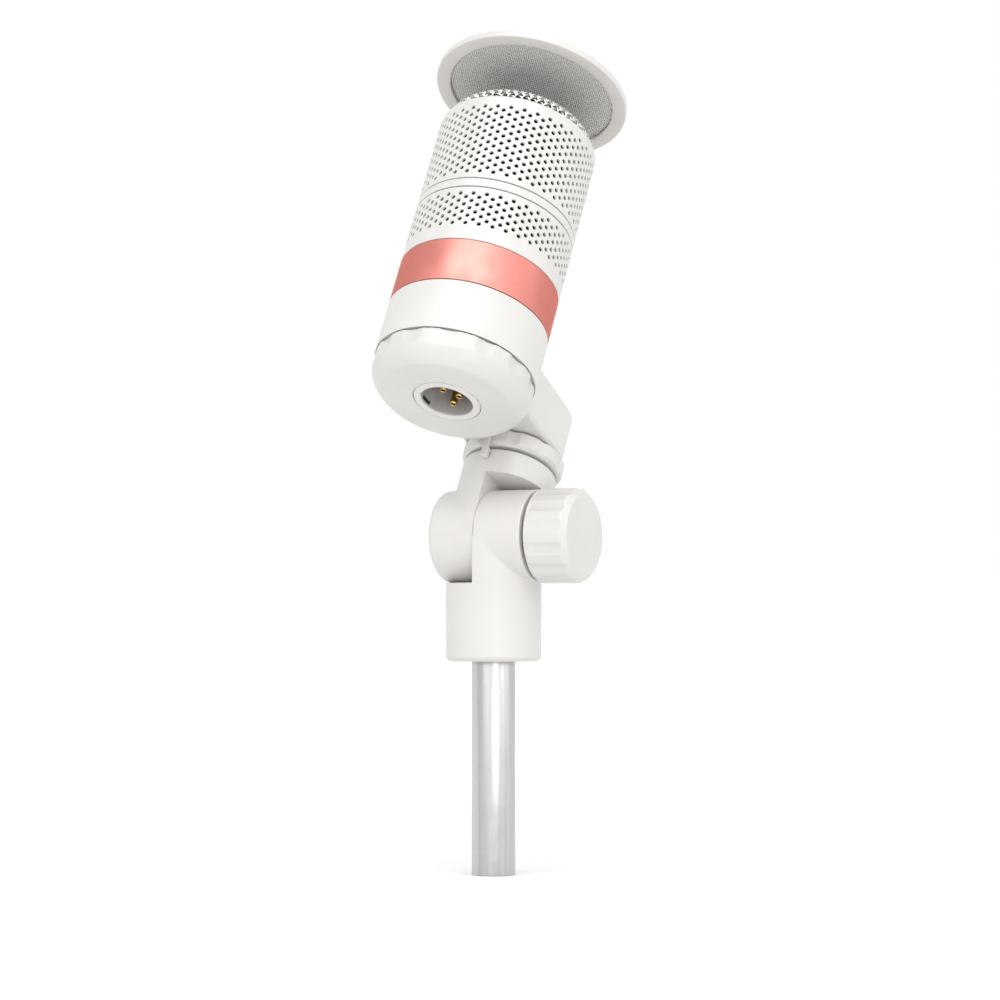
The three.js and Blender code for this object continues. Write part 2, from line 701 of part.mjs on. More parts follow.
place(micFrame, 'chassis_tube', washer(CARRIER_INNER, CARRIER_OUTER, 44.3, 68), DARK_PLASTIC);
place(micFrame, 'capsule_carrier', washer(CARRIER_INNER, CARRIER_OUTER, 68.3, 108), DARK_PLASTIC);
place(micFrame, 'capsule_body', capsuleBody(), STEEL);
place(micFrame, 'capsule_magnet', rod(10, CAPSULE_BACK + 3.3, CAPSULE_BACK + 13), STEEL);
place(micFrame, 'capsule_diaphragm', diaphragm(), POP_GAUZE);
place(
  micFrame, 'capsule_grid',
  rod(CAPSULE_RADIUS - 0.2, CAPSULE_FRONT + GAP, CAPSULE_FRONT + 1.3), STEEL,
);
[['shock_ring_rear', CAPSULE_BACK + 1], ['shock_ring_front', CAPSULE_FRONT - 5]].forEach(
  ([name, height]) => {
    const ring = washer(CAPSULE_RADIUS + GAP, CARRIER_INNER - GAP, height, height + 4);
    place(micFrame, name, ring, BLACK_RUBBER);
  },
);

// ---------------------------------------------------------------- three-pin connector

const BRACKET_BOTTOM = XLR_BACK + GAP;
const BRACKET_TOP = 44;
const FLANGE_RADIUS = 14.2;
const FLANGE_BOTTOM = XLR_BACK - 1.5;
const XLR_SCREW_PLACE = 12.1;
const INSULATOR_FRONT = 33.3;
const INSULATOR_BACK = 37.3;
const KEY_DEPTH = 0.9;

function pinPlaces() {
  return [[0, -XLR_PIN_CIRCLE], [0, XLR_PIN_CIRCLE], [XLR_PIN_CIRCLE, 0]];
}

function xlrShell() {
  const body = turned([
    [XLR_BORE_RADIUS, CAP_FACE - 0.1],
    [XLR_RING_RADIUS - 0.3, CAP_FACE - 0.1],
    [XLR_RING_RADIUS, CAP_FACE + 0.2],
    [XLR_RING_RADIUS, FLANGE_BOTTOM],
    [FLANGE_RADIUS, FLANGE_BOTTOM],
    [FLANGE_RADIUS, XLR_BACK],
    [XLR_BORE_RADIUS, XLR_BACK],
  ]);
  const keyway = block(-XLR_BORE_RADIUS - KEY_DEPTH, -6, -1.9, 1.9, CAP_FACE - 1, CAP_FACE + 11);
  const screwHoles = [-XLR_SCREW_PLACE, XLR_SCREW_PLACE].map(
    (y) => rod(0.9, FLANGE_BOTTOM - 1, XLR_BACK + 1, TINY).translate([0, y, 0]),
  );
  return cut(body, keyway, ...screwHoles);
}

function drilledDisc(radius, from, to, holeRadius) {
  const holes = pinPlaces().map(
    ([x, y]) => rod(holeRadius, from - 1, to + 1, TINY).translate([x, y, 0]),
  );
  return cut(rod(radius, from, to), ...holes);
}

function xlrPin() {
  return turned([
    [0, XLR_PIN_TIP],
    [XLR_PIN_RADIUS * 0.6, XLR_PIN_TIP],
    [XLR_PIN_RADIUS, XLR_PIN_TIP + 0.7],
    [XLR_PIN_RADIUS, INSULATOR_BACK + 3],
    [0, INSULATOR_BACK + 3],
  ], TINY);
}

function connectorBracket() {
  const screwHoles = [-XLR_SCREW_PLACE, XLR_SCREW_PLACE].map(
    (y) => rod(0.9, BRACKET_BOTTOM - 1, BRACKET_TOP + 1, TINY).translate([0, y, 0]),
  );
  return cut(washer(7.5, CARRIER_OUTER, BRACKET_BOTTOM, BRACKET_TOP, ROUND), ...screwHoles);
}

function connectorScrew() {
  return join(
    rod(1.4, FLANGE_BOTTOM - GAP - 1.2, FLANGE_BOTTOM - GAP, TINY),
    rod(0.6, FLANGE_BOTTOM - 1, BRACKET_TOP - 0.2, TINY),
  );
}

place(micFrame, 'xlr_shell', xlrShell(), WHITE_PAINT);
place(
  micFrame, 'xlr_insulator',
  drilledDisc(XLR_BORE_RADIUS - GAP, INSULATOR_FRONT, INSULATOR_BACK, XLR_PIN_RADIUS + GAP),
  DARK_PLASTIC,
);
pinPlaces().forEach(([x, y], i) => {
  place(micFrame, `xlr_pin_${i + 1}`, xlrPin().translate([x, y, 0]), GOLD_PLATE);
});
place(micFrame, 'connector_bracket', connectorBracket(), STEEL);
[-XLR_SCREW_PLACE, XLR_SCREW_PLACE].forEach((y, i) => {
  place(micFrame, `connector_screw_${i + 1}`, connectorScrew().translate([0, y, 0]), STEEL);
});
place(micFrame, 'circuit_board', rod(CARRIER_INNER - GAP, 48, 49.6), BOARD_GREEN);
place(micFrame, 'output_transformer', block(-8, 8, -7, 7, 49.9, 61.9), STEEL);

// ---------------------------------------------------------------- pop filter

const CLAMP_RADIUS = 29.4;
const BRACKET_HALF_WIDTH = 5;
const MAGNET_RADIUS = 4;
const MAGNET_HEIGHT = 107.5;
const MAGNET_FACE = BODY_RADIUS + 0.4;
const MAGNET_DEPTH = 1.9;

function popBackRing() {
  return turned([
    [POP_OPENING, POP_BACK],
    [POP_RADIUS - 0.25, POP_BACK],
    [POP_RADIUS, POP_BACK + 0.25],
    [POP_RADIUS, POP_FRONT - 0.4],
    [POP_RADIUS - 0.4, POP_FRONT],
    [CLAMP_RADIUS + GAP, POP_FRONT],
    [CLAMP_RADIUS + GAP, POP_BACK + 0.8],
    [POP_OPENING, POP_BACK + 0.8],
  ]);
}

// Strap with a thick foot that rests against the grille and holds a magnet.
function popBracket() {
  const outline = new THREE.Shape();
  outline.moveTo(MAGNET_FACE, 101);
  outline.lineTo(28.2, 101);
  outline.quadraticCurveTo(29.2, 101, 29.2, 102.2);
  outline.lineTo(29.2, 112);
  outline.quadraticCurveTo(29.2, 114.5, 28, 117);
  outline.lineTo(28, 129);
  outline.lineTo(29, POP_BACK - GAP);
  outline.lineTo(26.2, POP_BACK - GAP);
  outline.lineTo(26.2, 118);
  outline.lineTo(MAGNET_FACE, 115);
  const strap = pushed(outline, -BRACKET_HALF_WIDTH, BRACKET_HALF_WIDTH, 0.5, 4);
  strap.rotateY(Math.PI / 2).rotateX(Math.PI / 2);
  const pocket = rod(MAGNET_RADIUS + GAP, 20, MAGNET_FACE + MAGNET_DEPTH + GAP, SMALL, 'y');
  return cut(toSolid(strap), pocket.translate([0, 0, MAGNET_HEIGHT]));
}

function popMagnet() {
  return rod(MAGNET_RADIUS, MAGNET_FACE, MAGNET_FACE + MAGNET_DEPTH, SMALL, 'y')
    .translate([0, 0, MAGNET_HEIGHT]);
}

place(micFrame, 'pop_back_ring', popBackRing(), WHITE_PAINT);
place(micFrame, 'pop_mesh', rod(CLAMP_RADIUS, POP_BACK + 1.1, POP_BACK + 1.4, ROUND), POP_GAUZE);
place(
  micFrame, 'pop_front_ring',
  washer(POP_OPENING, CLAMP_RADIUS, POP_BACK + 1.7, POP_FRONT, ROUND), WHITE_PAINT,
);
place(micFrame, 'pop_bracket', popBracket(), WHITE_PAINT);
place(micFrame, 'pop_magnet', popMagnet(), STEEL);

export default microphone;
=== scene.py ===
# Looks for the desktop microphone. Lengths are millimetres inside the builders and metres in
# the scene. Three frames are used, as in the CAD: the hinge frame (on the tilt axis), the neck
# frame (leaned back by the tilt, z along the neck) and the mic frame (on the body's own axis).
import math
import bpy
import bmesh
import numpy as np
from mathutils import Matrix, Vector


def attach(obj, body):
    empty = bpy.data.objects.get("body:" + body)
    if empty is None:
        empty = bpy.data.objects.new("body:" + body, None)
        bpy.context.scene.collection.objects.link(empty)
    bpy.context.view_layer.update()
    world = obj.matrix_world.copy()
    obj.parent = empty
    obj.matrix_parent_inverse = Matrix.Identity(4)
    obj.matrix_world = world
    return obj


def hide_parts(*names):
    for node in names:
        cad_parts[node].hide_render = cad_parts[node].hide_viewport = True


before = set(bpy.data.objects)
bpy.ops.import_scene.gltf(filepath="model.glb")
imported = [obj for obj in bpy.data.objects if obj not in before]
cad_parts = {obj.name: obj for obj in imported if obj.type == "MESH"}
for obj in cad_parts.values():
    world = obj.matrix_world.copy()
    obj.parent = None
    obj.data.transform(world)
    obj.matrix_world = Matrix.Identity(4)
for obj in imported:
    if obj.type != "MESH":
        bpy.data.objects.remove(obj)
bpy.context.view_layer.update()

# ------------------------------------------------------------------ sizes (mm)
HINGE_HEIGHT = 104.0
TILT = math.radians(29.5)
MIC_OFFSET = 46.4
BODY_R = 25.0
GRIPS = 13  # flutes of the knob and scallops of the cap
FIRST_ANGLE = math.radians(-69.0)  # where the first scallop and the first holes lie round the mic
WHOLE = 2 * math.pi
MM = 0.001

HINGE = Matrix.Translation((0, 0, HINGE_HEIGHT * MM))
NECK = HINGE @ Matrix.Rotation(-TILT, 4, "X")
MIC = NECK @ Matrix.Translation((0, -MIC_OFFSET * MM, 0))


# ------------------------------------------------------------------ materials
def new_material(name, color, roughness, metallic=0.0):
    mat = bpy.data.materials.new(name)
    mat.use_nodes = True
    nodes = mat.node_tree.nodes
    bsdf = nodes["Principled BSDF"]
    bsdf.inputs["Base Color"].default_value = (*color, 1)
    bsdf.inputs["Roughness"].default_value = roughness
    bsdf.inputs["Metallic"].default_value = metallic
    return mat, nodes, mat.node_tree.links, bsdf


def add_noise(nodes, links, scale, detail=3.0, stretch=(1, 1, 1), rough=0.5):
    """Noise in the piece's own metres; scale is the number of features per metre."""
    coord = nodes.new("ShaderNodeTexCoord")
    mapping = nodes.new("ShaderNodeMapping")
    mapping.inputs["Scale"].default_value = stretch
    noise = nodes.new("ShaderNodeTexNoise")
    noise.inputs["Scale"].default_value = scale
    noise.inputs["Detail"].default_value = detail
    noise.inputs["Roughness"].default_value = rough
    links.new(coord.outputs["Object"], mapping.inputs["Vector"])
    links.new(mapping.outputs["Vector"], noise.inputs["Vector"])
    return noise.outputs["Fac"]


def spread(nodes, links, fac, low, high, at=(0.35, 0.65)):
    """A value read between low and high as fac goes from at[0] to at[1]."""
    node = nodes.new("ShaderNodeMapRange")
    node.inputs["From Min"].default_value = at[0]
    node.inputs["From Max"].default_value = at[1]
    node.inputs["To Min"].default_value = low
    node.inputs["To Max"].default_value = high
    links.new(fac, node.inputs["Value"])
    return node.outputs["Result"]


def tint(nodes, links, fac, dark, light, at=(0.3, 0.7)):
    """A colour read between dark and light as fac goes from at[0] to at[1]."""
    ramp = nodes.new("ShaderNodeValToRGB")
    ramp.color_ramp.elements[0].position = at[0]
    ramp.color_ramp.elements[1].position = at[1]
    ramp.color_ramp.elements[0].color = (*dark, 1)
    ramp.color_ramp.elements[1].color = (*light, 1)
    links.new(fac, ramp.inputs["Fac"])
    return ramp.outputs["Color"]


def add_bump(nodes, links, bsdf, fac, strength, distance_mm):
    bump = nodes.new("ShaderNodeBump")
    bump.inputs["Strength"].default_value = strength
    bump.inputs["Distance"].default_value = distance_mm * MM
    links.new(fac, bump.inputs["Height"])
    links.new(bump.outputs["Normal"], bsdf.inputs["Normal"])


def powder_coat(name, color, roughness=0.42, grain_depth=0.16):
    """Fine-grained satin paint: faint tone drift, a pebbled grain and a slight sheen change."""
    mat, nodes, links, bsdf = new_material(name, color, roughness)
    drift = add_noise(nodes, links, 60, 2.0)
    dark = tuple(c * 0.965 for c in color)
    light = tuple(min(1.0, c * 1.012) for c in color)
    links.new(tint(nodes, links, drift, dark, light), bsdf.inputs["Base Color"])
    grain = add_noise(nodes, links, 3200, 2.0)
    links.new(spread(nodes, links, grain, roughness * 0.85, roughness * 1.2), bsdf.inputs["Roughness"])
    add_bump(nodes, links, bsdf, grain, grain_depth, 0.06)
    return mat


def streaked_metal(name, dark, light, roughness, stretch, metallic=1.0, strength=0.1, scale=900):
    """Brushed or turned metal: fine lines across the stretch direction."""
    mat, nodes, links, bsdf = new_material(name, light, roughness, metallic)
    lines = add_noise(nodes, links, scale, 4.0, stretch, 0.6)
    links.new(tint(nodes, links, lines, dark, light, (0.25, 0.75)), bsdf.inputs["Base Color"])
    fog = add_noise(nodes, links, 90, 2.0)
    links.new(spread(nodes, links, fog, roughness * 0.8, roughness * 1.25), bsdf.inputs["Roughness"])
    add_bump(nodes, links, bsdf, lines, strength, 0.03)
    return mat


def moulded(name, color, roughness, grain_scale=2200, strength=0.2):
    """Moulded plastic or rubber with a spark-eroded grain."""
    mat, nodes, links, bsdf = new_material(name, color, roughness)
    grain = add_noise(nodes, links, grain_scale, 3.0)
    dark = tuple(c * 0.85 for c in color)
    light = tuple(min(1.0, c * 1.12) for c in color)
    links.new(tint(nodes, links, grain, dark, light), bsdf.inputs["Base Color"])
    links.new(spread(nodes, links, grain, roughness - 0.08, roughness + 0.08), bsdf.inputs["Roughness"])
    add_bump(nodes, links, bsdf, grain, strength, 0.08)
    return mat


def gauze_wire_painted_shade(name, middle, edge, from_r, to_r):
    """Fine satin wire whose colour darkens towards the middle of the disc, as painted shade from the
    microphone head close behind it.
    """
    mat, nodes, links, bsdf = new_material(name, edge, 0.5, 0.2)
    coord = nodes.new("ShaderNodeTexCoord")
    flat = nodes.new("ShaderNodeVectorMath")
    flat.operation = "MULTIPLY"
    flat.inputs[1].default_value = (1, 1, 0)
    links.new(coord.outputs["Object"], flat.inputs[0])
    length = nodes.new("ShaderNodeVectorMath")
    length.operation = "LENGTH"
    links.new(flat.outputs["Vector"], length.inputs[0])
    # Painted shade: the colour runs from the darker middle out to the wire's own colour at the rim.
    painted_shade_fade = spread(nodes, links, length.outputs["Value"], 0.0, 1.0, (from_r, to_r))
    links.new(tint(nodes, links, painted_shade_fade, middle, edge, (0.0, 1.0)), bsdf.inputs["Base Color"])
    grain = add_noise(nodes, links, 900, 2.0)
    links.new(spread(nodes, links, grain, 0.42, 0.6), bsdf.inputs["Roughness"])
    add_bump(nodes, links, bsdf, grain, 0.1, 0.03)
    return mat


def woven(name, dark, light, pitch_mm):
    """Cloth with a fine two-way weave."""
    mat, nodes, links, bsdf = new_material(name, light, 0.95)
    coord = nodes.new("ShaderNodeTexCoord")
    waves = []
    for axis in ("X", "Z"):
        wave = nodes.new("ShaderNodeTexWave")
        wave.bands_direction = axis
        wave.inputs["Scale"].default_value = math.pi / (10 * pitch_mm * MM)
        wave.inputs["Distortion"].default_value = 0.6
        links.new(coord.outputs["Object"], wave.inputs["Vector"])
        waves.append(wave.outputs["Fac"])
    blend = nodes.new("ShaderNodeMath")
    blend.operation = "MULTIPLY"
    links.new(waves[0], blend.inputs[0])
    links.new(waves[1], blend.inputs[1])
    links.new(tint(nodes, links, blend.outputs[0], dark, light, (0.1, 0.8)), bsdf.inputs["Base Color"])
    add_bump(nodes, links, bsdf, blend.outputs[0], 0.5, 0.1)
    return mat


# All white parts wear one paint. The cast, knob and cap copies are a little darker, as painted shade for
# how the light falls on those parts.
WHITE = powder_coat("white_powder_coat", (0.655, 0.642, 0.62), 0.34)
CAST_WHITE_PAINTED_SHADE = powder_coat("white_cast_coat_painted_shade", (0.64, 0.623, 0.596), 0.40)
KNOB_WHITE_PAINTED_SHADE = powder_coat("white_knob_coat_painted_shade", (0.635, 0.62, 0.594), 0.33, grain_depth=0.03)
CAP_WHITE_PAINTED_SHADE = powder_coat("white_cap_coat_painted_shade", (0.625, 0.61, 0.586), 0.33, grain_depth=0.02)
# Hole walls: the white paint darkened as painted shade inside the holes.
HOLE_WALL_PAINTED_SHADE = powder_coat("white_hole_walls_painted_shade", (0.55, 0.54, 0.525), 0.6)
POP_GREY = powder_coat("warm_grey_coat", (0.64, 0.615, 0.58), 0.5)
ROSE = streaked_metal("rose_anodised", (0.60, 0.215, 0.183), (0.65, 0.238, 0.20), 0.42,
                      stretch=(0.3, 0.3, 3), metallic=0.9, strength=0.015, scale=1500)
rose = ROSE.node_tree.nodes["Principled BSDF"].inputs
rose["Specular Tint"].default_value = (0.85, 0.55, 0.5, 1)
# Stand tube: its lengthwise light and dark streaks are partly draw marks and partly painted reflection of
# the studio around it.
CHROME_STREAKS_PAINTED_REFLECTION = streaked_metal("drawn_chrome_painted_reflection", (0.44, 0.44, 0.44), (0.66, 0.66, 0.66), 0.26,
                        stretch=(1, 1, 0.01), strength=0.0, scale=330)
STEEL = streaked_metal("turned_steel", (0.42, 0.42, 0.41), (0.62, 0.62, 0.60), 0.32,
                       stretch=(0.3, 0.3, 2), strength=0.12)
WIRE = streaked_metal("nickel_wire", (0.44, 0.43, 0.405), (0.66, 0.64, 0.605), 0.42,
                      stretch=(1, 1, 1), strength=0.12, scale=1500)
# middle is the painted shade at the disc's centre; edge is the wire's own colour.
GAUZE_PAINTED_SHADE = gauze_wire_painted_shade("gauze_wire_painted_shade", middle=(0.32, 0.31, 0.295), edge=(0.57, 0.553, 0.522),
                   from_r=0.010, to_r=0.028)
BRASS = streaked_metal("turned_brass", (0.55, 0.36, 0.12), (0.80, 0.58, 0.24), 0.25,
                       stretch=(0.3, 0.3, 2), strength=0.1)
GOLD = streaked_metal("gold_plate", (0.42, 0.27, 0.08), (0.68, 0.48, 0.18), 0.2,
                      stretch=(1, 1, 1), strength=0.05, scale=700)
SOCKET_GREY = moulded("socket_insulator", (0.42, 0.405, 0.385), 0.5)
DARK_PLASTIC = moulded("dark_plastic", (0.055, 0.054, 0.05), 0.6)
RUBBER = moulded("black_rubber", (0.035, 0.034, 0.033), 0.8, grain_scale=1200, strength=0.35)
GREY_RUBBER = moulded("grey_rubber", (0.40, 0.39, 0.37), 0.75, grain_scale=1200, strength=0.3)
FOAM = moulded("black_foam", (0.012, 0.012, 0.012), 1.0, grain_scale=1400, strength=1.0)
CLOTH = woven("acoustic_cloth", (0.004, 0.004, 0.004), (0.014, 0.014, 0.014), pitch_mm=0.4)
BOARD = moulded("circuit_board", (0.02, 0.13, 0.06), 0.4, grain_scale=500, strength=0.1)


# ------------------------------------------------------------------ mesh helpers
def add_piece(name, points, faces, place, material, body, node, normals=None, loop_normals=None):
    """A mesh object from points in mm in the given frame, riding on a body in place of a node."""
    mesh = bpy.data.meshes.new(name)
    mesh.from_pydata((np.asarray(points, float) * MM).tolist(), [], [list(map(int, f)) for f in faces])
    mesh.validate()
    for polygon in mesh.polygons:
        polygon.use_smooth = True
    if normals is not None:
        mesh.normals_split_custom_set_from_vertices(np.asarray(normals, float).tolist())
    if loop_normals is not None:
        mesh.normals_split_custom_set(np.asarray(loop_normals, float).tolist())
    obj = bpy.data.objects.new(name, mesh)
    bpy.context.scene.collection.objects.link(obj)
    obj.matrix_world = place
    mesh.materials.append(material)
    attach(obj, body)
    if node:
        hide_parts(*([node] if isinstance(node, str) else node))
    return obj


def smooth_profile(profile, rounds, steps=4):
    """Profile corners rounded by arcs; rounds maps a corner's index to its radius. A -1 among its
    keys says that the profile closes on itself, so its first and last corners can be rounded."""
    out = []
    count = len(profile)
    for i, corner in enumerate(profile):
        radius = rounds.get(i, 0)
        corner = np.array(corner, float)
        if radius == 0 or (i in (0, count - 1) and -1 not in rounds):
            out.append(corner)
            continue
        before = np.array(profile[i - 1], float)
        after = np.array(profile[(i + 1) % count], float)
        to_before, to_after = np.linalg.norm(before - corner), np.linalg.norm(after - corner)
        u = (before - corner) / to_before
        v = (after - corner) / to_after
        half = math.acos(max(-1, min(1, float(u @ v)))) / 2
        reach = min(radius / math.tan(half), to_before / 2.01, to_after / 2.01)
        radius = reach * math.tan(half)
        centre = corner + (u + v) / np.linalg.norm(u + v) * radius / math.sin(half)
        start, end = corner + u * reach - centre, corner + v * reach - centre
        turn = math.atan2(start[0] * end[1] - start[1] * end[0], float(start @ end))
        for k in range(steps + 1):
            a = turn * k / steps
            out.append(centre + np.array([start[0] * math.cos(a) - start[1] * math.sin(a),
                                          start[0] * math.sin(a) + start[1] * math.cos(a)]))
    return out


def lathe(profile, segments=192, axis="z"):
    """Points and faces of a closed ring turned about the axis; the profile is [radius, height].
    A profile that touches the axis is closed there by a single point."""
    profile = [np.array(p, float) for p in profile]
    closed = profile[0][0] > 1e-6
    points, rows = [], []
    for radius, height in profile:
        if radius < 1e-6:
            rows.append([len(points)] * segments)
            points.append((0.0, 0.0, height))
            continue
        rows.append(list(range(len(points), len(points) + segments)))
        for k in range(segments):
            a = WHOLE * k / segments
            points.append((radius * math.cos(a), radius * math.sin(a), height))
    faces = []
    pairs = list(zip(rows, rows[1:]))
    if closed:
        pairs.append((rows[-1], rows[0]))
    for low, high in pairs:
        for k in range(segments):
            n = (k + 1) % segments
            ring = [low[k], low[n], high[n], high[k]]
            face = [v for i, v in enumerate(ring) if v not in ring[:i]]
            if len(face) > 2:
                faces.append(face)
    points = np.array(points)
    if axis == "x":
        points = points[:, [2, 0, 1]]
    area = sum(a[0] * b[1] - b[0] * a[1] for a, b in zip(profile, profile[1:] + profile[:1]))
    if area < 0:
        faces = [face[::-1] for face in faces]
    return points, faces


def turned_piece(name, profile, rounds, place, material, body, node, segments=192, axis="z", sharp=25):
    """A turned piece; edges that bend by more than sharp degrees stay crisp."""
    points, faces = lathe(smooth_profile(profile, rounds), segments, axis)
    obj = add_piece(name, points, faces, place, material, body, node)
    obj.data.set_sharp_from_angle(angle=math.radians(sharp))
    return obj


# ------------------------------------------------------------------ rounded solids from distances
ROOT2 = math.sqrt(2)


def soft_min(a, b, k):
    """Join of two distances, its inner corner filled over a width k."""
    h = np.maximum(k - np.abs(a - b), 0) / k
    return np.minimum(a, b) - h * h * k / 4


def soft_max(a, b, k):
    """Overlap of two distances, its outer corner rounded over a width k."""
    return -soft_min(-a, -b, k)


def d_cylinder(r, along, radius, low, high, rounding=0.0):
    """Distance to a round-edged cylinder, from the distance to its axis and the place along it."""
    qx = r - radius + rounding
    qy = np.abs(along - (low + high) / 2) - (high - low) / 2 + rounding
    outside = np.hypot(np.maximum(qx, 0), np.maximum(qy, 0))
    return outside + np.minimum(np.maximum(qx, qy), 0) - rounding


def d_box(x, y, z, lo, hi, rounding=0.0):
    """Distance to a round-edged box between two corners."""
    q = [np.abs(v - (a + b) / 2) - (b - a) / 2 + rounding for v, a, b in zip((x, y, z), lo, hi)]
    outside = np.sqrt(sum(np.maximum(c, 0) ** 2 for c in q))
    return outside + np.minimum(np.maximum(np.maximum(q[0], q[1]), q[2]), 0) - rounding


def hollowed(body, *tools, rounding=0.2):
    """The body with the tools taken out of it and the edges of the cuts rounded."""
    for tool in tools:
        body = soft_max(body, -tool, rounding)
    return body


def solid_points(distance, lo, hi, step):
    """Even net of points and quads on the surface where distance(x, y, z) is zero."""
    axes = [np.arange(a - step * 1.5, b + step * 1.6, step) for a, b in zip(lo, hi)]
    nx, ny, nz = map(len, axes)
    field = np.empty((nx, ny, nz), np.float32)
    for i in range(0, nx, 24):
        x, y, z = np.meshgrid(axes[0][i:i + 24], axes[1], axes[2], indexing="ij")
        field[i:i + 24] = distance(x, y, z)
    inside = field < 0
    count = sum(inside[a:nx - 1 + a, b:ny - 1 + b, c:nz - 1 + c].astype(np.int8)
                for a in (0, 1) for b in (0, 1) for c in (0, 1))
    cells = np.argwhere((count > 0) & (count < 8))
    index = -np.ones((nx - 1, ny - 1, nz - 1), np.int64)
    index[tuple(cells.T)] = np.arange(len(cells))
    total = np.zeros((len(cells), 3))
    hits = np.zeros(len(cells))
    corners = [(a, b, c) for a in (0, 1) for b in (0, 1) for c in (0, 1)]
    for p in corners:
        for q in corners:
            if sum(abs(s - t) for s, t in zip(p, q)) != 1 or p > q:
                continue
            fp = field[tuple((cells + p).T)]
            fq = field[tuple((cells + q).T)]
            crossing = (fp < 0) != (fq < 0)
            t = np.where(crossing, fp / np.where(crossing, fp - fq, 1), 0)
            total += np.where(crossing[:, None], np.array(p) + t[:, None] * (np.array(q) - np.array(p)), 0)
            hits += crossing
    points = (cells + total / hits[:, None]) * step + np.array([a[0] for a in axes])
    quads = []
    for axis in range(3):
        one = np.array([axis == 0, axis == 1, axis == 2], int)
        a = inside[:nx - one[0], :ny - one[1], :nz - one[2]]
        b = inside[one[0]:, one[1]:, one[2]:]
        edges = np.argwhere(a != b)
        u, v = [(1, 2), (2, 0), (0, 1)][axis]
        du, dv = np.eye(3, dtype=int)[u], np.eye(3, dtype=int)[v]
        ring = [index[tuple((edges - s * du - t * dv).T)] for s, t in ((1, 1), (0, 1), (0, 0), (1, 0))]
        quad = np.stack(ring, 1)
        outward = a[tuple(edges.T)]
        quad[~outward] = quad[~outward][:, ::-1]
        quads.append(quad)
    quads = np.concatenate(quads)

    def gradient(p, e=0.02):
        g = np.empty_like(p)
        for k in range(3):
            s = np.zeros(3)
            s[k] = e
            hi_p, lo_p = p + s, p - s
            g[:, k] = distance(*hi_p.T) - distance(*lo_p.T)
        return g / (2 * e)

    for _ in range(4):
        g = gradient(points)
        size = np.maximum((g * g).sum(1), 0.2)
        move = (distance(*points.T) / size)[:, None] * g
        length = np.linalg.norm(move, axis=1, keepdims=True)
        points = points - move * np.minimum(1, step * 0.5 / np.maximum(length, 1e-9))
    g = gradient(points)
    normals = g / np.maximum(np.linalg.norm(g, axis=1, keepdims=True), 1e-9)
    return points, quads, normals


def carved_piece(name, distance, lo, hi, step, place, material, body, node):
    """A piece meshed from a distance function inside the box from lo to hi."""
    points, quads, normals = solid_points(distance, lo, hi, step)
    return add_piece(name, points, quads, place, material, body, node, normals=normals)


def folded(a, b, count, first):
    """Polar coordinates folded onto one of count equal sectors centred on first."""
    r = np.hypot(a, b)
    pitch = WHOLE / count
    angle = (np.arctan2(b, a) - first + pitch / 2) % pitch - pitch / 2
    return r * np.cos(angle), r * np.sin(angle)


def dip_circle(body, width_deg, depth):
    """Radius and centre distance of the circle that cuts a dip of that width and depth."""
    half = math.radians(width_deg) / 2
    chord, near = body * math.sin(half), body - depth
    sag = body * math.cos(half) - near
    radius = (chord ** 2 + sag ** 2) / (2 * sag)
    return radius, near + radius


# ------------------------------------------------------------------ stand tube and hinge
TUBE_R = 6.7
TUBE_BORE_R = 5.5
TUBE_TOP = -30.7
SOCKET_R = 14.7
SOCKET_FOOT_R = 13.6  # radius of the foot inside its bevel
SOCKET_BOTTOM = -38.4
SOCKET_END = 15.9  # outer end of the right-hand barrel
SOCKET_SHOULDER = -14.3
BARREL_R = 14.25  # both hinge barrels
NECK_R = 14.8
NECK_RIM_R = 14.4
NECK_TOP = 23.0
NECK_END = -15.75  # outer end of the left-hand barrel
NECK_SHOULDER = 14.8
NECK_FLARE = 0.037  # how fast the neck's sides spread upwards
HALF_GAP = 0.01  # each half stops this far from the hinge's middle plane
GAP_ROUND = 0.04
BOLT_BORE_R = 4.3
WASHER_POCKET_R = 11.3
SPINDLE_BORE_R = 8.3
PEG_X = -0.9  # peg that holds the index tongue on the neck
PEG_Z = 20.6
PEG_R = 0.8
PEG_HOLE_R = 0.84

turned_piece("tube_drawn", [(TUBE_BORE_R, -HINGE_HEIGHT), (TUBE_R, -HINGE_HEIGHT), (TUBE_R, TUBE_TOP),
                            (TUBE_BORE_R, TUBE_TOP)],
             {0: 0.2, 1: 0.35, 2: 0.3, -1: 0}, HINGE, CHROME_STREAKS_PAINTED_REFLECTION, "stand", "stand_tube")


def socket_shape(x, y, z):
    rz, rx = np.hypot(x, y), np.hypot(y, z)
    post = d_cylinder(rz, z, SOCKET_R, SOCKET_BOTTOM, 0.0, 0.15)
    post = soft_max(post, (rz - SOCKET_FOOT_R - (z - SOCKET_BOTTOM)) / ROOT2, 0.3)
    body = soft_min(post, d_cylinder(rx, x, BARREL_R, -3, SOCKET_END, 0.4), 0.45)
    body = soft_max(body, np.minimum(HALF_GAP - x, z - SOCKET_SHOULDER), GAP_ROUND)
    tube_hole = d_cylinder(rz, z, 7.0, -45, -30.4)
    insert_hole = d_cylinder(rz, z, 7.8, -31, -18)
    bolt_hole = d_cylinder(rx, x, BOLT_BORE_R, -5, 20)
    washer_pocket = d_cylinder(rx, x, WASHER_POCKET_R, -5, 0.8)
    gasket_pocket = d_cylinder(rx, x, 12.0, 14.7, 20)
    return hollowed(body, tube_hole, insert_hole, bolt_hole, washer_pocket, gasket_pocket)


carved_piece("socket_casting", socket_shape,
             (-SOCKET_R, -SOCKET_R, SOCKET_BOTTOM), (SOCKET_END, SOCKET_R, BARREL_R), 0.4,
             HINGE, CAST_WHITE_PAINTED_SHADE, "swivel_base", "socket")


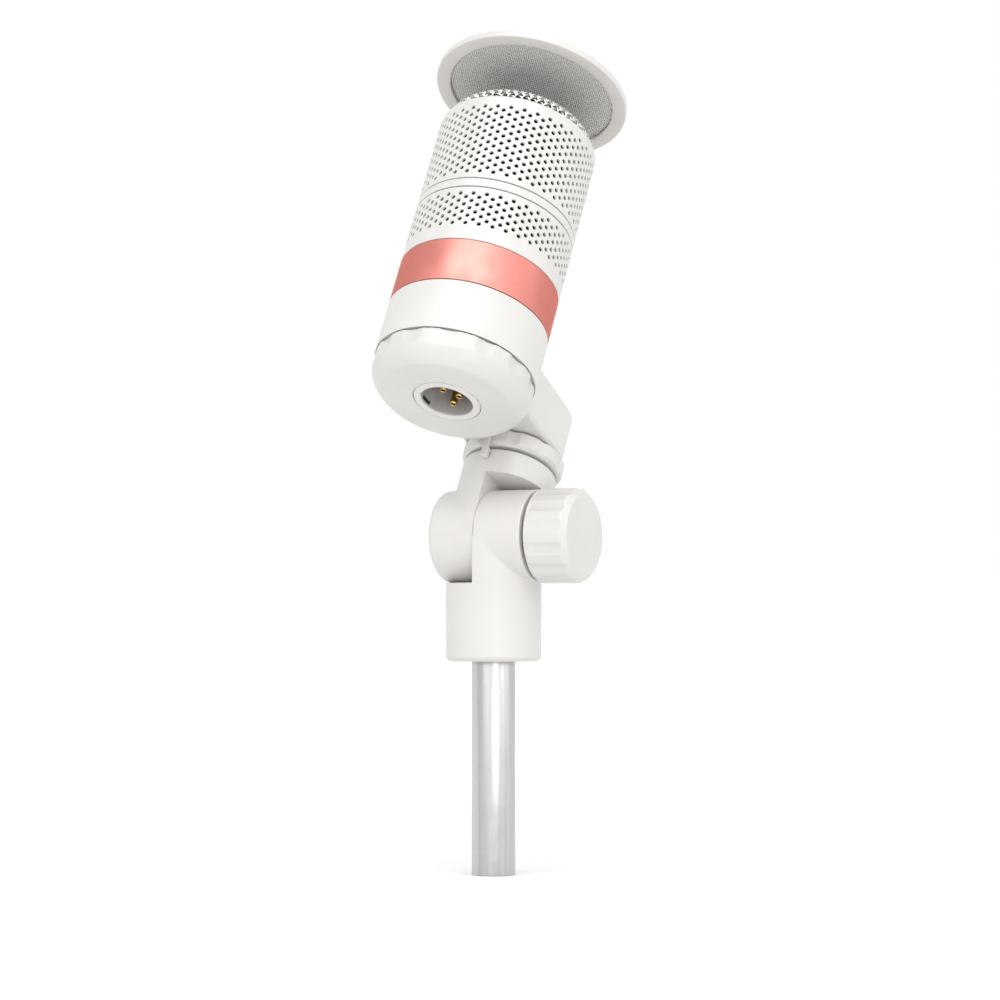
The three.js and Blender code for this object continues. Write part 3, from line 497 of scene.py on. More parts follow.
def neck_shape(x, y, z):
    rz, rx = np.hypot(x, y), np.hypot(y, z)
    post = d_cylinder(rz, z, NECK_R, -2, NECK_TOP, 0.12)
    post = soft_max(post, (rz - NECK_RIM_R + (z - NECK_TOP)) / ROOT2, 0.3)
    post = soft_max(post, -z, 2.0)
    post = soft_max(post, np.abs(y) - BARREL_R - NECK_FLARE * np.maximum(z, 0), 0.1)
    body = soft_min(post, d_cylinder(rx, x, BARREL_R, NECK_END, 6, 1.6), 0.8)
    body = soft_max(body, np.minimum(x + HALF_GAP, NECK_SHOULDER - z), GAP_ROUND)
    spindle_hole = d_cylinder(rz, z, SPINDLE_BORE_R, 16.6, 30)
    lock_washer_recess = d_cylinder(rz, z, 12.9, 22.2, 30)
    washer_pocket = d_cylinder(rx, x, WASHER_POCKET_R, -0.8, 5)
    bolt_hole = d_cylinder(rx, x, BOLT_BORE_R, -20, 5)
    bolt_head_pocket = d_cylinder(rx, x, 7.7, -20, -9.5)
    disc_recess = d_cylinder(rx, x, 8.9, -20, -14.2)
    peg_hole = d_cylinder(np.hypot(x - PEG_X, z - PEG_Z), y, PEG_HOLE_R, -20, -12.3)
    grub_hole = d_cylinder(np.hypot(x, z - 19.4), y, 1.8, 7, 20)
    return hollowed(body, spindle_hole, lock_washer_recess, washer_pocket, bolt_hole, bolt_head_pocket,
                    disc_recess, peg_hole, grub_hole)


carved_piece("neck_casting", neck_shape, (NECK_END, -NECK_R, -14.3), (NECK_R, NECK_R, NECK_TOP), 0.4,
             NECK, CAST_WHITE_PAINTED_SHADE, "neck_assembly", "neck")

turned_piece("hinge_end_disc", [(0, -15.6), (8.6, -15.6), (8.6, -14.5), (0, -14.5)], {1: 0.3, 2: 0.1},
             NECK, CAST_WHITE_PAINTED_SHADE, "neck_assembly", "hinge_cap", 96, "x")
turned_piece("knob_gasket", [(4.5, 15.0), (11.6, 15.0), (11.6, 17.0), (4.5, 17.0)], {1: 0.2, 2: 0.3, -1: 0},
             HINGE, GREY_RUBBER, "swivel_base", "knob_washer", 96, "x")

# ------------------------------------------------------------------ clamp knob
KNOB_R = 14.5
KNOB_INNER = 17.3
KNOB_OUTER = 31.2
KNOB_BEVEL = 43.8  # radius plus distance along the axis, on the cone of the bevel
FLUTE_FOOT = 17.6  # the flutes run out towards here


def knob_shape(x, y, z):
    rx = np.hypot(y, z)
    body = d_cylinder(rx, x, KNOB_R, KNOB_INNER, KNOB_OUTER, 0.15)
    body = soft_max(body, (rx + x - KNOB_BEVEL) / ROOT2, 0.2)
    radius, centre = dip_circle(KNOB_R, 16.2, 0.55)
    u, v = folded(-y, z, GRIPS, math.radians(-17.3))
    ramp = (x - FLUTE_FOOT - (KNOB_R - rx)) / ROOT2
    body = soft_max(body, np.minimum(radius - np.hypot(u - centre, v), ramp), 0.05)
    insert_hole = d_cylinder(rx, x, 6.0, 10, 27.9)
    return hollowed(body, insert_hole)


carved_piece("knob_grip", knob_shape, (KNOB_INNER, -KNOB_R, -KNOB_R), (KNOB_OUTER, KNOB_R, KNOB_R), 0.32,
             HINGE, KNOB_WHITE_PAINTED_SHADE, "knob", "tilt_knob")

# ------------------------------------------------------------------ lock ring, tab and arm
RING_R = 15.8
RING_FOOT_R = 14.7
RING_LOW = 24.0
RING_TOP = 29.3
RING_NOTCHES = 10


def ring_shape(x, y, z):
    rz = np.hypot(x, y)
    body = d_cylinder(rz, z, RING_R, RING_LOW, RING_TOP, 0.15)
    body = soft_max(body, (rz - RING_FOOT_R - (z - RING_LOW)) / ROOT2, 0.25)
    radius, centre = dip_circle(RING_R, 14, 0.6)
    u, v = folded(x, y, RING_NOTCHES, math.radians(-65.5))
    body = soft_max(body, radius - np.hypot(u - centre, v), 0.08)
    return np.maximum(body, SPINDLE_BORE_R - rz)


carved_piece("lock_ring_grip", ring_shape, (-RING_R, -RING_R, RING_LOW), (RING_R, RING_R, RING_TOP), 0.33,
             NECK, CAST_WHITE_PAINTED_SHADE, "lock_ring_body", "lock_ring")

TAB_LEFT = -1.85
TAB_RIGHT = 0.05
TAB_LOW = 19.0
TAB_TOP = 29.6
TAB_FRONT = -17.4


def tab_shape(x, y, z):
    foot = d_box(x, y, z, (TAB_LEFT, -16.8, TAB_LOW), (TAB_RIGHT, -15.1, 22.6), 0.3)
    bar = d_box(x, y, z, (TAB_LEFT, TAB_FRONT, TAB_LOW), (TAB_RIGHT, -16.1, TAB_TOP), 0.3)
    peg = d_cylinder(np.hypot(x - PEG_X, z - PEG_Z), y, PEG_R, -16.5, -12.6)
    return np.minimum(soft_min(foot, bar, 0.3), peg)


carved_piece("index_tongue", tab_shape, (TAB_LEFT, TAB_FRONT, TAB_LOW), (TAB_RIGHT, -12.6, TAB_TOP), 0.18,
             NECK, CAST_WHITE_PAINTED_SHADE, "neck_assembly", "index_tab")

ARM_R = 14.7
ARM_MIDDLE = 38.6
ARM_HALF = 8.6
SADDLE_R = 25.3  # the arm's end is hollowed to sit against the body
ARM_SCREW_X = 7
ARM_END = -30.4


def arm_shape(x, y, z):
    side = np.hypot(x, np.maximum(y, 0)) - ARM_R
    end = np.abs(z - ARM_MIDDLE) - ARM_HALF
    body = soft_max(side, end, 0.2)
    body = soft_max(body, (side + end + 0.95) / ROOT2, 0.3)
    body = soft_max(body, SADDLE_R - np.hypot(x, y + MIC_OFFSET), 0.3)
    body = np.maximum(body, ARM_END - y)
    body = np.maximum(body, -d_cylinder(np.hypot(x, y), z, SPINDLE_BORE_R, 20, 42.5))
    for sx in (-ARM_SCREW_X, ARM_SCREW_X):
        screw_hole = d_cylinder(np.hypot(x - sx, z - ARM_MIDDLE), y, 2.3, -40, -11.1)
        body = np.maximum(body, -screw_hole)
    return body


carved_piece("arm_casting", arm_shape, (-ARM_R, -26.2, 30.0), (ARM_R, ARM_R, ARM_MIDDLE + ARM_HALF), 0.45,
             NECK, WHITE, "microphone", "arm")


# ------------------------------------------------------------------ end cap and connector
CAP_R = 24.7
CAP_FACE = 19.5
CAP_TOP = 29.96
CAP_ROUND_CENTRE = (2.97, 26.0)  # quarter ellipse of the rounded edge, cut off by the flat face
CAP_ROUND_REACH = (21.73, 11.0)
CAP_ROUND_SIZE = 14.0  # brings the ellipse's distance to about millimetres
SCALLOP_START = 28.2
SPIGOT_R = 22.2
SPIGOT_TOP = 34


def cap_shape(x, y, z):
    r = np.hypot(x, y)
    body = d_cylinder(r, z, CAP_R, CAP_FACE, 45)
    across = np.maximum(r - CAP_ROUND_CENTRE[0], 0) / CAP_ROUND_REACH[0]
    down = np.maximum(CAP_ROUND_CENTRE[1] - z, 0) / CAP_ROUND_REACH[1]
    body = soft_max(body, (np.hypot(across, down) - 1) * CAP_ROUND_SIZE, 0.3)
    u, v = folded(x, y, GRIPS, FIRST_ANGLE)
    radius, centre = dip_circle(CAP_R, 16.6, 0.66)
    scallop = radius - np.sqrt((u - centre) ** 2 + v ** 2 + np.minimum(z - SCALLOP_START, 0) ** 2)
    body = soft_max(body, scallop, 0.05)
    body = soft_max(body, z - CAP_TOP, 0.06)
    spigot = np.maximum(r - SPIGOT_R, np.maximum(z - SPIGOT_TOP, 29 - z))
    body = np.minimum(body, spigot)
    body = np.maximum(body, -d_cylinder(r, z, 20.4, 22, 50))
    return soft_max(body, 10.55 - r, 0.25)


carved_piece("cap_scalloped", cap_shape, (-CAP_R, -CAP_R, CAP_FACE), (CAP_R, CAP_R, SPIGOT_TOP), 0.4,
             MIC, CAP_WHITE_PAINTED_SHADE, "screw_cap", "end_cap")

KEYWAY = math.radians(174.0)
KEY_HALF = 2.0
NOTCH = math.radians(218.0)
NOTCH_HALF = 0.45
CONNECTOR_LOW = 19.4
CONNECTOR_TOP = 41.9
FLANGE_R = 14.2
CONNECTOR_BORE_R = 8.0
INSULATOR_R = 7.7
INSULATOR_LOW = 33.3
INSULATOR_TOP = 37.3
CONTACTS = ((0, -3.75), (0, 3.75), (3.75, 0))


def turned_past(x, y, angle):
    """Angle of a point past the given one, from minus half a turn to half a turn."""
    return (np.arctan2(y, x) - angle + math.pi) % WHOLE - math.pi


def connector_shape(x, y, z):
    r = np.hypot(x, y)
    body = d_cylinder(r, z, 10.25, CONNECTOR_LOW, CONNECTOR_TOP, 0.25)
    body = np.minimum(body, d_cylinder(r, z, 10.47, 19.75, 23, 0.05))
    body = np.minimum(body, d_cylinder(r, z, FLANGE_R, 40.4, CONNECTOR_TOP, 0.1))
    body = soft_max(body, -d_cylinder(r, z, CONNECTOR_BORE_R, 10, 50), 0.3)
    along_key = 8 * turned_past(x, y, KEYWAY)
    key_slot = d_box(r, along_key, z, (7, -KEY_HALF, 20.6), (9.0, KEY_HALF, 21.6), 0.1)
    body = soft_max(body, -key_slot, 0.05)
    along_notch = 8 * turned_past(x, y, NOTCH)
    rim_notch = d_box(r, along_notch, z, (7, -NOTCH_HALF, 18), (8.5, NOTCH_HALF, 20.4), 0.1)
    body = soft_max(body, -rim_notch, 0.05)
    for sy in (-12.1, 12.1):
        body = np.maximum(body, 0.9 - np.hypot(x, y - sy))
    return body


shell = carved_piece("connector_shell", connector_shape,
                     (-FLANGE_R, -FLANGE_R, CONNECTOR_LOW), (FLANGE_R, FLANGE_R, CONNECTOR_TOP), 0.33,
                     MIC, WHITE, "microphone", "xlr_shell")
shell.data.materials.append(SOCKET_GREY)
shell.data.materials.append(DARK_PLASTIC)
# Inside the bore the shell takes the insulator's grey; the faces of the key slot and rim notch take dark
# plastic as painted shade in those recesses.
for polygon in shell.data.polygons:
    radius = math.hypot(polygon.center.x, polygon.center.y) / MM
    if polygon.center.z / MM > 20.0 and radius < 9.2:
        polygon.material_index = 2 if radius > 8.1 else 1


def insulator_shape(x, y, z):
    body = d_cylinder(np.hypot(x, y), z, INSULATOR_R, INSULATOR_LOW, INSULATOR_TOP, 0.2)
    for px, py in CONTACTS:
        body = soft_max(body, 1.5 - np.hypot(x - px, y - py), 0.15)
    return body


carved_piece("connector_disc", insulator_shape, (-INSULATOR_R, -INSULATOR_R, INSULATOR_LOW),
             (INSULATOR_R, INSULATOR_R, INSULATOR_TOP), 0.25,
             MIC, SOCKET_GREY, "microphone", "xlr_insulator")
CONTACT_PROFILE = [(0, 24.0), (0.68, 23.8), (0.72, 21.2), (0.82, 21.0), (0.96, 21.0), (1.2, 21.45),
                   (1.2, 40.3), (0, 40.3)]
for number, (px, py) in enumerate(CONTACTS, 1):
    turned_piece(f"contact_{number}", CONTACT_PROFILE, {3: 0.12, 4: 0.15, 5: 0.3},
                 MIC @ Matrix.Translation((px * MM, py * MM, 0)), GOLD,
                 "microphone", f"xlr_pin_{number}", 40)


# ------------------------------------------------------------------ plain shells
SHELL_BORE_R = 22.6
LIP_R = 24.2
EDGE = 0.12  # rounding of a shell's outer edges


def shell_ring(name, inner, low, high, material, node, lip=0.0):
    """A round shell whose edges are broken. A lip under the next shell makes the joint shallow."""
    profile = [(inner, low - lip), (LIP_R, low - lip), (LIP_R, low), (BODY_R, low),
               (BODY_R, high), (LIP_R, high), (LIP_R, high + lip), (inner, high + lip)]
    rounds = {3: EDGE, 4: EDGE, -1: 0}
    if not lip:
        profile = [profile[0], profile[3], profile[4], profile[7]]
        rounds = {1: EDGE, 2: EDGE, -1: 0}
    return turned_piece(name, profile, rounds, MIC, material, "microphone", node, 256)


housing_profile = [(SHELL_BORE_R, 30.5), (24.75, 30.5), (24.75, 30.1), (BODY_R, 30.1), (BODY_R, 47.05),
                   (SHELL_BORE_R, 47.05)]
turned_piece("housing_shell", housing_profile, {2: 0.04, 3: 0.06, 4: EDGE, -1: 0},
             MIC, WHITE, "microphone", "lower_housing", 256)
shell_ring("rose_band", SHELL_BORE_R, 47.35, 61.85, ROSE, "colour_band")
shell_ring("collar_shell", 23.6, 81.72, 84.43, WHITE, "grille_collar", lip=0.15)


# ------------------------------------------------------------------ perforated grilles
HOLES = 37  # holes in a row
HOLE_R = 0.68
HOLE_SIDES = 16
ROW = 1.372
COLUMN = math.pi / HOLES  # half the angle between two holes of a row
GRILLE_BORE_R = 24.35
MOUTH = 0.05  # how far a hole widens at the outer surface
# Radius, hole size and lean of the normal towards outside, from the outer surface to the bore.
HOLE_RINGS = ((BODY_R, HOLE_R + MOUTH, 0.6), (BODY_R - 0.03, HOLE_R + MOUTH * 0.4, 0.3),
              (BODY_R - 0.12, HOLE_R, 0.1), (GRILLE_BORE_R, HOLE_R, 0.0))
# Radius, height and lean of the normal from outward towards the end, round the grille's front rim.
FRONT_RIM = [(BODY_R, 115.3, 0.0), (24.93, 115.68, 0.38), (24.72, 116.02, 0.75), (24.42, 116.22, 1.1),
             (24.3, 116.27, 1.5), (24.2, 116.3, 2.2), (24.1, 116.2, 3.0), (24.05, 115.9, math.pi)]


def plain_edge(end, inward):
    """Edge of a grille at height end; inward is the sign of the way back into the grille."""
    return [(BODY_R, end + inward * EDGE, 0.0), (BODY_R - EDGE, end, 1.5), (GRILLE_BORE_R, end, 1.57)]


class Sleeve:
    """Points, faces and a normal for each corner of each face of a perforated sleeve."""

    def __init__(self, first_row):
        self.first_row = first_row
        self.points = []
        self.faces = []
        self.normals = []
        self.walls = []
        self.lattice = {}

    def put(self, radius, angle, height):
        self.points.append((radius * math.cos(angle), radius * math.sin(angle), height))
        return len(self.points) - 1

    def add(self, face, leans, up=True):
        """A face whose normals lean from outward to the sleeve's end; it is turned round if not up."""
        corners = list(zip(face, leans))
        for v, lean in corners if up else corners[::-1]:
            x, y, _ = self.points[v]
            r = math.hypot(x, y)
            rise = math.sin(lean) if up else -math.sin(lean)
            self.normals.append((x / r * math.cos(lean), y / r * math.cos(lean), rise))
        self.faces.append(face if up else face[::-1])

    def corner(self, layer, column, row):
        """Diamond corner on a lattice of half columns and rows; layer 0 is the outer surface."""
        key = (layer, column % (2 * HOLES), row)
        if key not in self.lattice:
            radius = BODY_R if layer == 0 else GRILLE_BORE_R
            self.lattice[key] = self.put(radius, FIRST_ANGLE + key[1] * COLUMN, self.first_row - row * ROW)
        return self.lattice[key]

    def add_hole(self, angle, height):
        """The wall of a round hole; returns its outermost and innermost rings."""
        rings = []
        for radius, size, _ in HOLE_RINGS:
            turns = [WHOLE * s / HOLE_SIDES for s in range(HOLE_SIDES)]
            rings.append([self.put(radius, angle + size * math.cos(a) / BODY_R, height + size * math.sin(a))
                          for a in turns])
        outward = np.array((math.cos(angle), math.sin(angle), 0.0))
        for depth in range(len(rings) - 1):
            near, far = rings[depth], rings[depth + 1]
            leans = [HOLE_RINGS[depth][2], HOLE_RINGS[depth + 1][2]]
            for s in range(HOLE_SIDES):
                n = (s + 1) % HOLE_SIDES
                self.walls.append(len(self.faces))
                self.faces.append([near[n], far[n], far[s], near[s]])
                for v, lean in zip(self.faces[-1], (leans[0], leans[1], leans[1], leans[0])):
                    p = np.array(self.points[v])
                    on_axis = outward * float(p @ outward) + np.array((0, 0, height))
                    toward = (on_axis - p) / np.linalg.norm(on_axis - p)
                    mixed = toward * (1 - lean) + outward * lean
                    self.normals.append(tuple(mixed / np.linalg.norm(mixed)))
        return rings[0], rings[-1]

    def fill_diamond(self, layer, ring, column, row):
        """The flat sheet between a hole's ring and the four corners of its diamond."""
        ends = [self.corner(layer, column + 1, row), self.corner(layer, column, row - 1),
                self.corner(layer, column - 1, row), self.corner(layer, column, row + 1)]
        outer = layer == 0
        leans = [0.0 if outer else math.pi] * 3
        per_quarter = HOLE_SIDES // 4
        for s in range(HOLE_SIDES):
            a, b = ring[s], ring[(s + 1) % HOLE_SIDES]
            first, second = ends[s // per_quarter], ends[(s // per_quarter + 1) % 4]
            sheet = [[a, first if s % per_quarter < 2 else second, b]]
            if s % per_quarter == 1:
                sheet.append([b, first, second])
            for face in sheet:
                self.add(face if outer else face[::-1], leans)

    def close_end(self, edge_row, up, edge):
        """Plain bands and the edge beyond the last row of diamonds, up or down the sleeve."""
        beyond = edge_row - 1 if up else edge_row + 1
        columns = range(2 * HOLES)
        rings = [[self.put(radius, FIRST_ANGLE + c * COLUMN, height) for c in columns]
                 for radius, height, _ in edge]
        zigzag = [[self.corner(layer, c, beyond if c % 2 == edge_row % 2 else edge_row) for c in columns]
                  for layer in (0, 1)]
        for c in columns:
            n = (c + 1) % len(columns)
            self.add([zigzag[0][c], zigzag[0][n], rings[0][n], rings[0][c]], [0.0] * 4, up)
            self.add([zigzag[1][n], zigzag[1][c], rings[-1][c], rings[-1][n]], [math.pi] * 4, up)
            for level in range(len(rings) - 1):
                low, high = rings[level], rings[level + 1]
                leans = [edge[level][2], edge[level][2], edge[level + 1][2], edge[level + 1][2]]
                self.add([low[c], low[n], high[n], high[c]], leans, up)


def grille(name, node, first_row, rows, top, bottom):
    """Thin sleeve with staggered round holes through it. Every hole sits in a diamond; the
    diamonds tile the perforated zone and plain bands close it above and below."""
    sleeve = Sleeve(first_row)
    for row in range(rows):
        for k in range(HOLES):
            column = 2 * k + row % 2
            mouth, bore = sleeve.add_hole(FIRST_ANGLE + column * COLUMN, first_row - row * ROW)
            sleeve.fill_diamond(0, mouth, column, row)
            sleeve.fill_diamond(1, bore, column, row)
    sleeve.close_end(0, True, top)
    sleeve.close_end(rows - 1, False, bottom)
    obj = add_piece(name, sleeve.points, sleeve.faces, MIC, WHITE, "microphone", node,
                    loop_normals=sleeve.normals)
    # The hole walls take the darker white, as painted shade inside the holes.
    obj.data.materials.append(HOLE_WALL_PAINTED_SHADE)
    for index in sleeve.walls:
        obj.data.polygons[index].material_index = 1


grille("grille_perforated_upper", "grille_upper", 112.0, 19, FRONT_RIM, plain_edge(84.9, 1))
grille("grille_perforated_lower", "grille_lower", 78.9, 9, plain_edge(81.25, -1), plain_edge(62.15, 1))


# ------------------------------------------------------------------ woven wires
def tubes(paths, side_normals, radius, sides):
    """Round wires along the paths, each ended by a flat cap; returns points, faces, normals."""
    points, faces, normals = [], [], []
    turns = np.arange(sides) * WHOLE / sides
    for path, up in zip(paths, side_normals):
        along = np.gradient(path, axis=0)
        along /= np.linalg.norm(along, axis=1, keepdims=True)
        across = np.cross(along, up)
        across /= np.linalg.norm(across, axis=1, keepdims=True)
        upward = np.cross(across, along)
        ring = upward[:, None] * np.cos(turns)[:, None] + across[:, None] * np.sin(turns)[:, None]
        start = sum(len(p) for p in points)
        points.append((path[:, None] + ring * radius).reshape(-1, 3))
        normals.append(ring.reshape(-1, 3))
        base = start + (np.arange(len(path) - 1) * sides)[:, None]
        now, after = base + np.arange(sides), base + (np.arange(sides) + 1) % sides
        faces.extend(np.stack([now, after, after + sides, now + sides], -1).reshape(-1, 4).tolist())
        faces.append(list(range(start + sides - 1, start - 1, -1)))
        last = start + (len(path) - 1) * sides
        faces.append(list(range(last, last + sides)))
    return np.concatenate(points), faces, np.concatenate(normals)


DOME_R = 23.35
DOME_H = 10.1
RIM = 116.3
table_angle = np.linspace(0, math.pi / 2, 400)
table_r = DOME_R * np.sin(table_angle)
table_z = DOME_H * np.cos(table_angle)
table_s = np.concatenate([[0], np.cumsum(np.hypot(np.diff(table_r), np.diff(table_z)))])
DOME_S = table_s[-1]


def on_dome(s, angle):
    """Point and outward normal on the dome at arc length s from its top; past the rim it drops."""
    inside = np.minimum(s, DOME_S)
    r = np.interp(inside, table_s, table_r)
    z = np.interp(inside, table_s, table_z) - np.maximum(s - DOME_S, 0)
    nr, nz = r / DOME_R ** 2, np.maximum(z, 0) / DOME_H ** 2
    size = np.maximum(np.hypot(nr, nz), 1e-9)
    c, d = np.cos(angle), np.sin(angle)
    normal = np.stack([nr / size * c, nr / size * d, nz / size], -1)
    return np.stack([r * c, r * d, z + RIM], -1), normal


def woven_dome(pitch, wire, turn, skirt):
    """Two crossing families of waved wires over the dome, down to skirt below its rim."""
    reach = DOME_S + skirt
    paths, ups = [], []
    lines = int(reach / pitch)
    for family in (0, 1):
        for j in range(-lines, lines + 1):
            half = math.sqrt(max(reach ** 2 - (j * pitch) ** 2, 0))
            if half < pitch:
                continue
            t = np.linspace(-half, half, int(2 * half / pitch * 7) + 2)
            u, v = (t, np.full_like(t, j * pitch)) if family == 0 else (np.full_like(t, j * pitch), t)
            s = np.hypot(u, v)
            base, normal = on_dome(s, np.arctan2(v, u) + turn)
            wave = np.cos(math.pi * (t / pitch + j)) * (1 if family == 0 else -1)
            paths.append(base + normal * (wave * wire * 0.96)[:, None])
            ups.append(normal)
    return tubes(paths, ups, wire, 8)


wires, wire_faces, wire_normals = woven_dome(pitch=1.85, wire=0.375, turn=math.radians(-14), skirt=1.3)
add_piece("head_weave", wires, wire_faces, MIC, WIRE, "microphone", "head_mesh",
          normals=wire_normals)

# ------------------------------------------------------------------ pop filter
POP_BACK = 134.7
POP_FRONT = 136.9
POP_R = 30.75
POP_OPEN_R = 26.35
POP_SEAT_R = 29.7
POP_SEAT = 135.5
rim_profile = [(POP_OPEN_R, POP_BACK), (POP_R, POP_BACK), (POP_R, POP_FRONT), (POP_SEAT_R, POP_FRONT),
               (POP_SEAT_R, POP_SEAT), (POP_OPEN_R, POP_SEAT)]
ring_back = turned_piece("pop_rim", rim_profile, {0: 0.2, 1: 0.3, 2: 0.45, 3: 0.1, -1: 0},
                         MIC, WHITE, "pop_filter", "pop_back_ring", 256)
ring_back.data.materials.append(POP_GREY)
for polygon in ring_back.data.polygons:
    if polygon.normal.z < -0.9:
        polygon.material_index = 1
turned_piece("pop_clamp", [(POP_OPEN_R, 136.4), (29.4, 136.4), (29.4, POP_FRONT), (POP_OPEN_R, POP_FRONT)],
             {0: 0.1, 1: 0.1, 2: 0.15, 3: 0.2, -1: 0},
             MIC, WHITE, "pop_filter", "pop_front_ring", 256)


def gauze(pitch, wire, radius, middle, turn_deg):
    """Plain weave clipped to a disc: every wire goes over one crossing and under the next."""
    paths, ups = [], []
    lines = int(radius / pitch)
    for family in (0, 1):
        turn = math.radians(turn_deg + 90 * family)
        side = 1 if family == 0 else -1
        for j in range(-lines, lines + 1):
            reach = int(math.sqrt(max(radius ** 2 - (j * pitch) ** 2, 0)) / pitch)
            if reach < 1:
                continue
            k = np.arange(-reach, reach + 1)
            x, y = k * pitch, np.full(len(k), j * pitch)
            height = middle + side * wire * np.where((j + k) % 2 == 0, 1.0, -1.0)
            paths.append(np.stack([x * math.cos(turn) - y * math.sin(turn),
                                   x * math.sin(turn) + y * math.cos(turn), height], -1))
            ups.append(np.tile((0.0, 0.0, 1.0), (len(k), 1)))
    return tubes(paths, ups, wire, 5)


fine, fine_faces, fine_normals = gauze(pitch=0.6, wire=0.17, radius=29.3, middle=135.95, turn_deg=31)
add_piece("pop_gauze", fine, fine_faces, MIC, GAUZE_PAINTED_SHADE, "pop_filter", "pop_mesh",
          normals=fine_normals)


STRAP_HALF = 5.0


def bracket_piece():
    """Strap from the pop filter's rim down to a thick foot against the grille."""
    outline = [(25.4, 101), (28.2, 101), (28.9, 101.3), (29.2, 102.2), (29.2, 112), (28.9, 114.5),
               (28, 117), (28, 129), (29, 134.4), (26.2, 134.4), (26.2, 118), (25.4, 115)]
    mesh = bmesh.new()
    rings = [[mesh.verts.new((x * MM, y * MM, z * MM)) for y, z in outline]
             for x in (-STRAP_HALF, STRAP_HALF)]
    mesh.faces.new(rings[0])
    mesh.faces.new(rings[1][::-1])
    for i in range(len(outline)):
        j = (i + 1) % len(outline)
        mesh.faces.new([rings[0][j], rings[0][i], rings[1][i], rings[1][j]])
    bmesh.ops.recalc_face_normals(mesh, faces=mesh.faces)
    edges = [e for e in mesh.edges if e.calc_face_angle(0) > math.radians(30)]
    bmesh.ops.bevel(mesh, geom=edges, offset=0.5 * MM, segments=3, profile=0.5, affect="EDGES")
    data = bpy.data.meshes.new("pop_strap")
    mesh.to_mesh(data)
    mesh.free()
    for polygon in data.polygons:
        polygon.use_smooth = True
    data.set_sharp_from_angle(angle=math.radians(35))
    obj = bpy.data.objects.new("pop_strap", data)
    bpy.context.scene.collection.objects.link(obj)
    obj.matrix_world = MIC
    data.materials.append(WHITE)
    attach(obj, "pop_filter")
    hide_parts("pop_bracket")


bracket_piece()

# ------------------------------------------------------------------ CAD pieces that stay
FINISHES = {
    "stand_stud": STEEL, "thread_insert": BRASS, "tilt_bolt": STEEL, "friction_washer": DARK_PLASTIC,
    "knob_insert": BRASS, "lock_washer": STEEL, "swivel_grub_screw": STEEL, "swivel_spindle": STEEL,
    "arm_screw_1": STEEL, "arm_screw_2": STEEL, "grille_liner": CLOTH, "head_ring": DARK_PLASTIC,
    "head_foam": FOAM, "chassis_tube": DARK_PLASTIC, "capsule_carrier": DARK_PLASTIC, "capsule_body": STEEL,
    "capsule_magnet": STEEL, "capsule_diaphragm": GAUZE_PAINTED_SHADE, "capsule_grid": STEEL, "shock_ring_rear": RUBBER,
    "shock_ring_front": RUBBER, "connector_bracket": STEEL, "connector_screw_1": STEEL,
    "connector_screw_2": STEEL, "circuit_board": BOARD, "output_transformer": STEEL, "pop_magnet": STEEL,
}
for node, material in FINISHES.items():
    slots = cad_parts[node].data.materials
    slots.clear()
    slots.append(material)

# ------------------------------------------------------------------ floor, light and camera
FLOOR_REACH = 30.0  # metres
floor_mesh = bpy.data.meshes.new("floor")
floor_corners = [(-FLOOR_REACH, -FLOOR_REACH, 0), (FLOOR_REACH, -FLOOR_REACH, 0),
                 (FLOOR_REACH, FLOOR_REACH, 0), (-FLOOR_REACH, FLOOR_REACH, 0)]
floor_mesh.from_pydata(floor_corners, [], [(0, 1, 2, 3)])
floor = bpy.data.objects.new("floor", floor_mesh)
bpy.context.scene.collection.objects.link(floor)
floor_paint, _, _, floor_bsdf = new_material("floor_paint", (0.88, 0.88, 0.88), 1.0)
floor_bsdf.inputs["Specular IOR Level"].default_value = 0.0
floor_mesh.materials.append(floor_paint)

world = bpy.data.worlds.new("studio")
world.use_nodes = True
bpy.context.scene.world = world
sky = world.node_tree.nodes["Background"]
sky.inputs["Color"].default_value = (1.0, 1.0, 1.0, 1)
sky.inputs["Strength"].default_value = 1.0


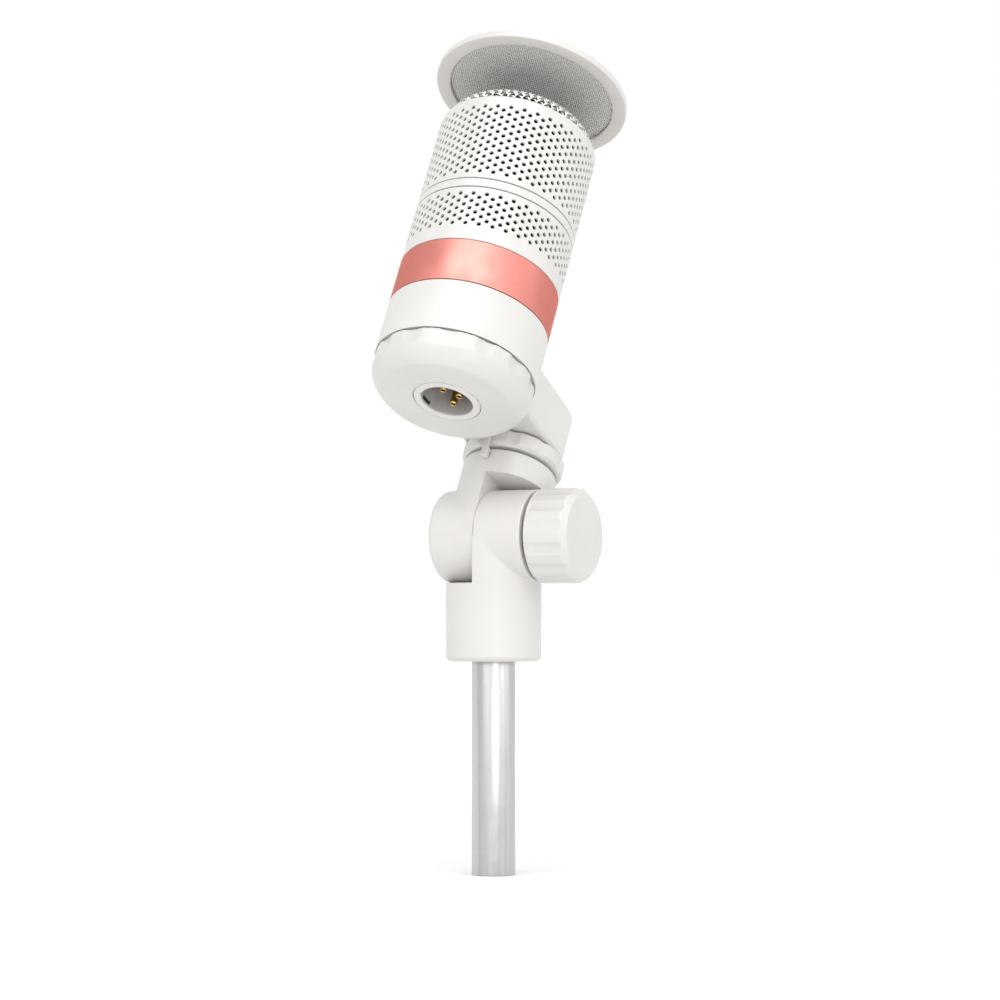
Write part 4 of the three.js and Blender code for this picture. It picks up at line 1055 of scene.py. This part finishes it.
def soft_sun(name, toward, strength, spread_deg, color=(1, 1, 1), only_reflected=False):
    """Large soft light from the given direction; it may show in reflections only."""
    lamp = bpy.data.lights.new(name, "SUN")
    lamp.energy = strength
    lamp.angle = math.radians(spread_deg)
    lamp.color = color
    obj = bpy.data.objects.new(name, lamp)
    obj.rotation_euler = Vector(toward).to_track_quat("Z", "Y").to_euler()
    obj.visible_diffuse = not only_reflected
    bpy.context.scene.collection.objects.link(obj)


def low_disc(name, place, aim, size, strength):
    """Soft disc light near the floor, aimed at a point and hidden from the camera."""
    lamp = bpy.data.lights.new(name, "AREA")
    lamp.shape = "DISK"
    lamp.size = size
    lamp.energy = strength
    obj = bpy.data.objects.new(name, lamp)
    obj.location = place
    obj.rotation_euler = (Vector(place) - Vector(aim)).to_track_quat("Z", "Y").to_euler()
    obj.visible_camera = False
    bpy.context.scene.collection.objects.link(obj)


OVERHEAD = (0.18, -0.50, 0.85)
SHEEN = (0.9, 1.0, 1.06)
soft_sun("key_light", (0.40, -0.84, 0.12), 1.05, 110)
soft_sun("strip_light", OVERHEAD, 0.5, 60)
soft_sun("sheen_light", OVERHEAD, 1.6, 60, SHEEN, only_reflected=True)
soft_sun("side_sheen", (0.80, 0.05, 0.60), 0.7, 74, SHEEN, only_reflected=True)
low_disc("low_fill", (0.26, -0.34, 0.015), (0, -0.02, 0.12), 0.25, 0.36)

AZIMUTH, ELEVATION = math.radians(27.08), math.radians(-2.135)
DISTANCE = 1002.73  # from the hinge axis, with the picture's centre moved right and up of it
CENTRE_RIGHT = 1.977
CENTRE_UP = 11.306
right = Vector((math.cos(AZIMUTH), math.sin(AZIMUTH), 0))
back = Vector((math.sin(AZIMUTH) * math.cos(ELEVATION), -math.cos(AZIMUTH) * math.cos(ELEVATION),
               math.sin(ELEVATION)))
up = back.cross(right)
camera_data = bpy.data.cameras.new("camera")
camera_data.sensor_width = 36
camera_data.lens = 116.95
camera_data.clip_start = 0.05
camera_data.clip_end = 200
camera = bpy.data.objects.new("camera", camera_data)
offset = right * CENTRE_RIGHT + up * CENTRE_UP + back * DISTANCE
where = Vector((0, 0, HINGE_HEIGHT * MM)) + offset * MM
turn = Matrix((right, up, back)).transposed().to_4x4()
camera.matrix_world = Matrix.Translation(where) @ turn
bpy.context.scene.collection.objects.link(camera)
bpy.context.scene.camera = camera
bpy.context.scene.view_settings.view_transform = "Standard"
bpy.context.scene.view_settings.look = "None"
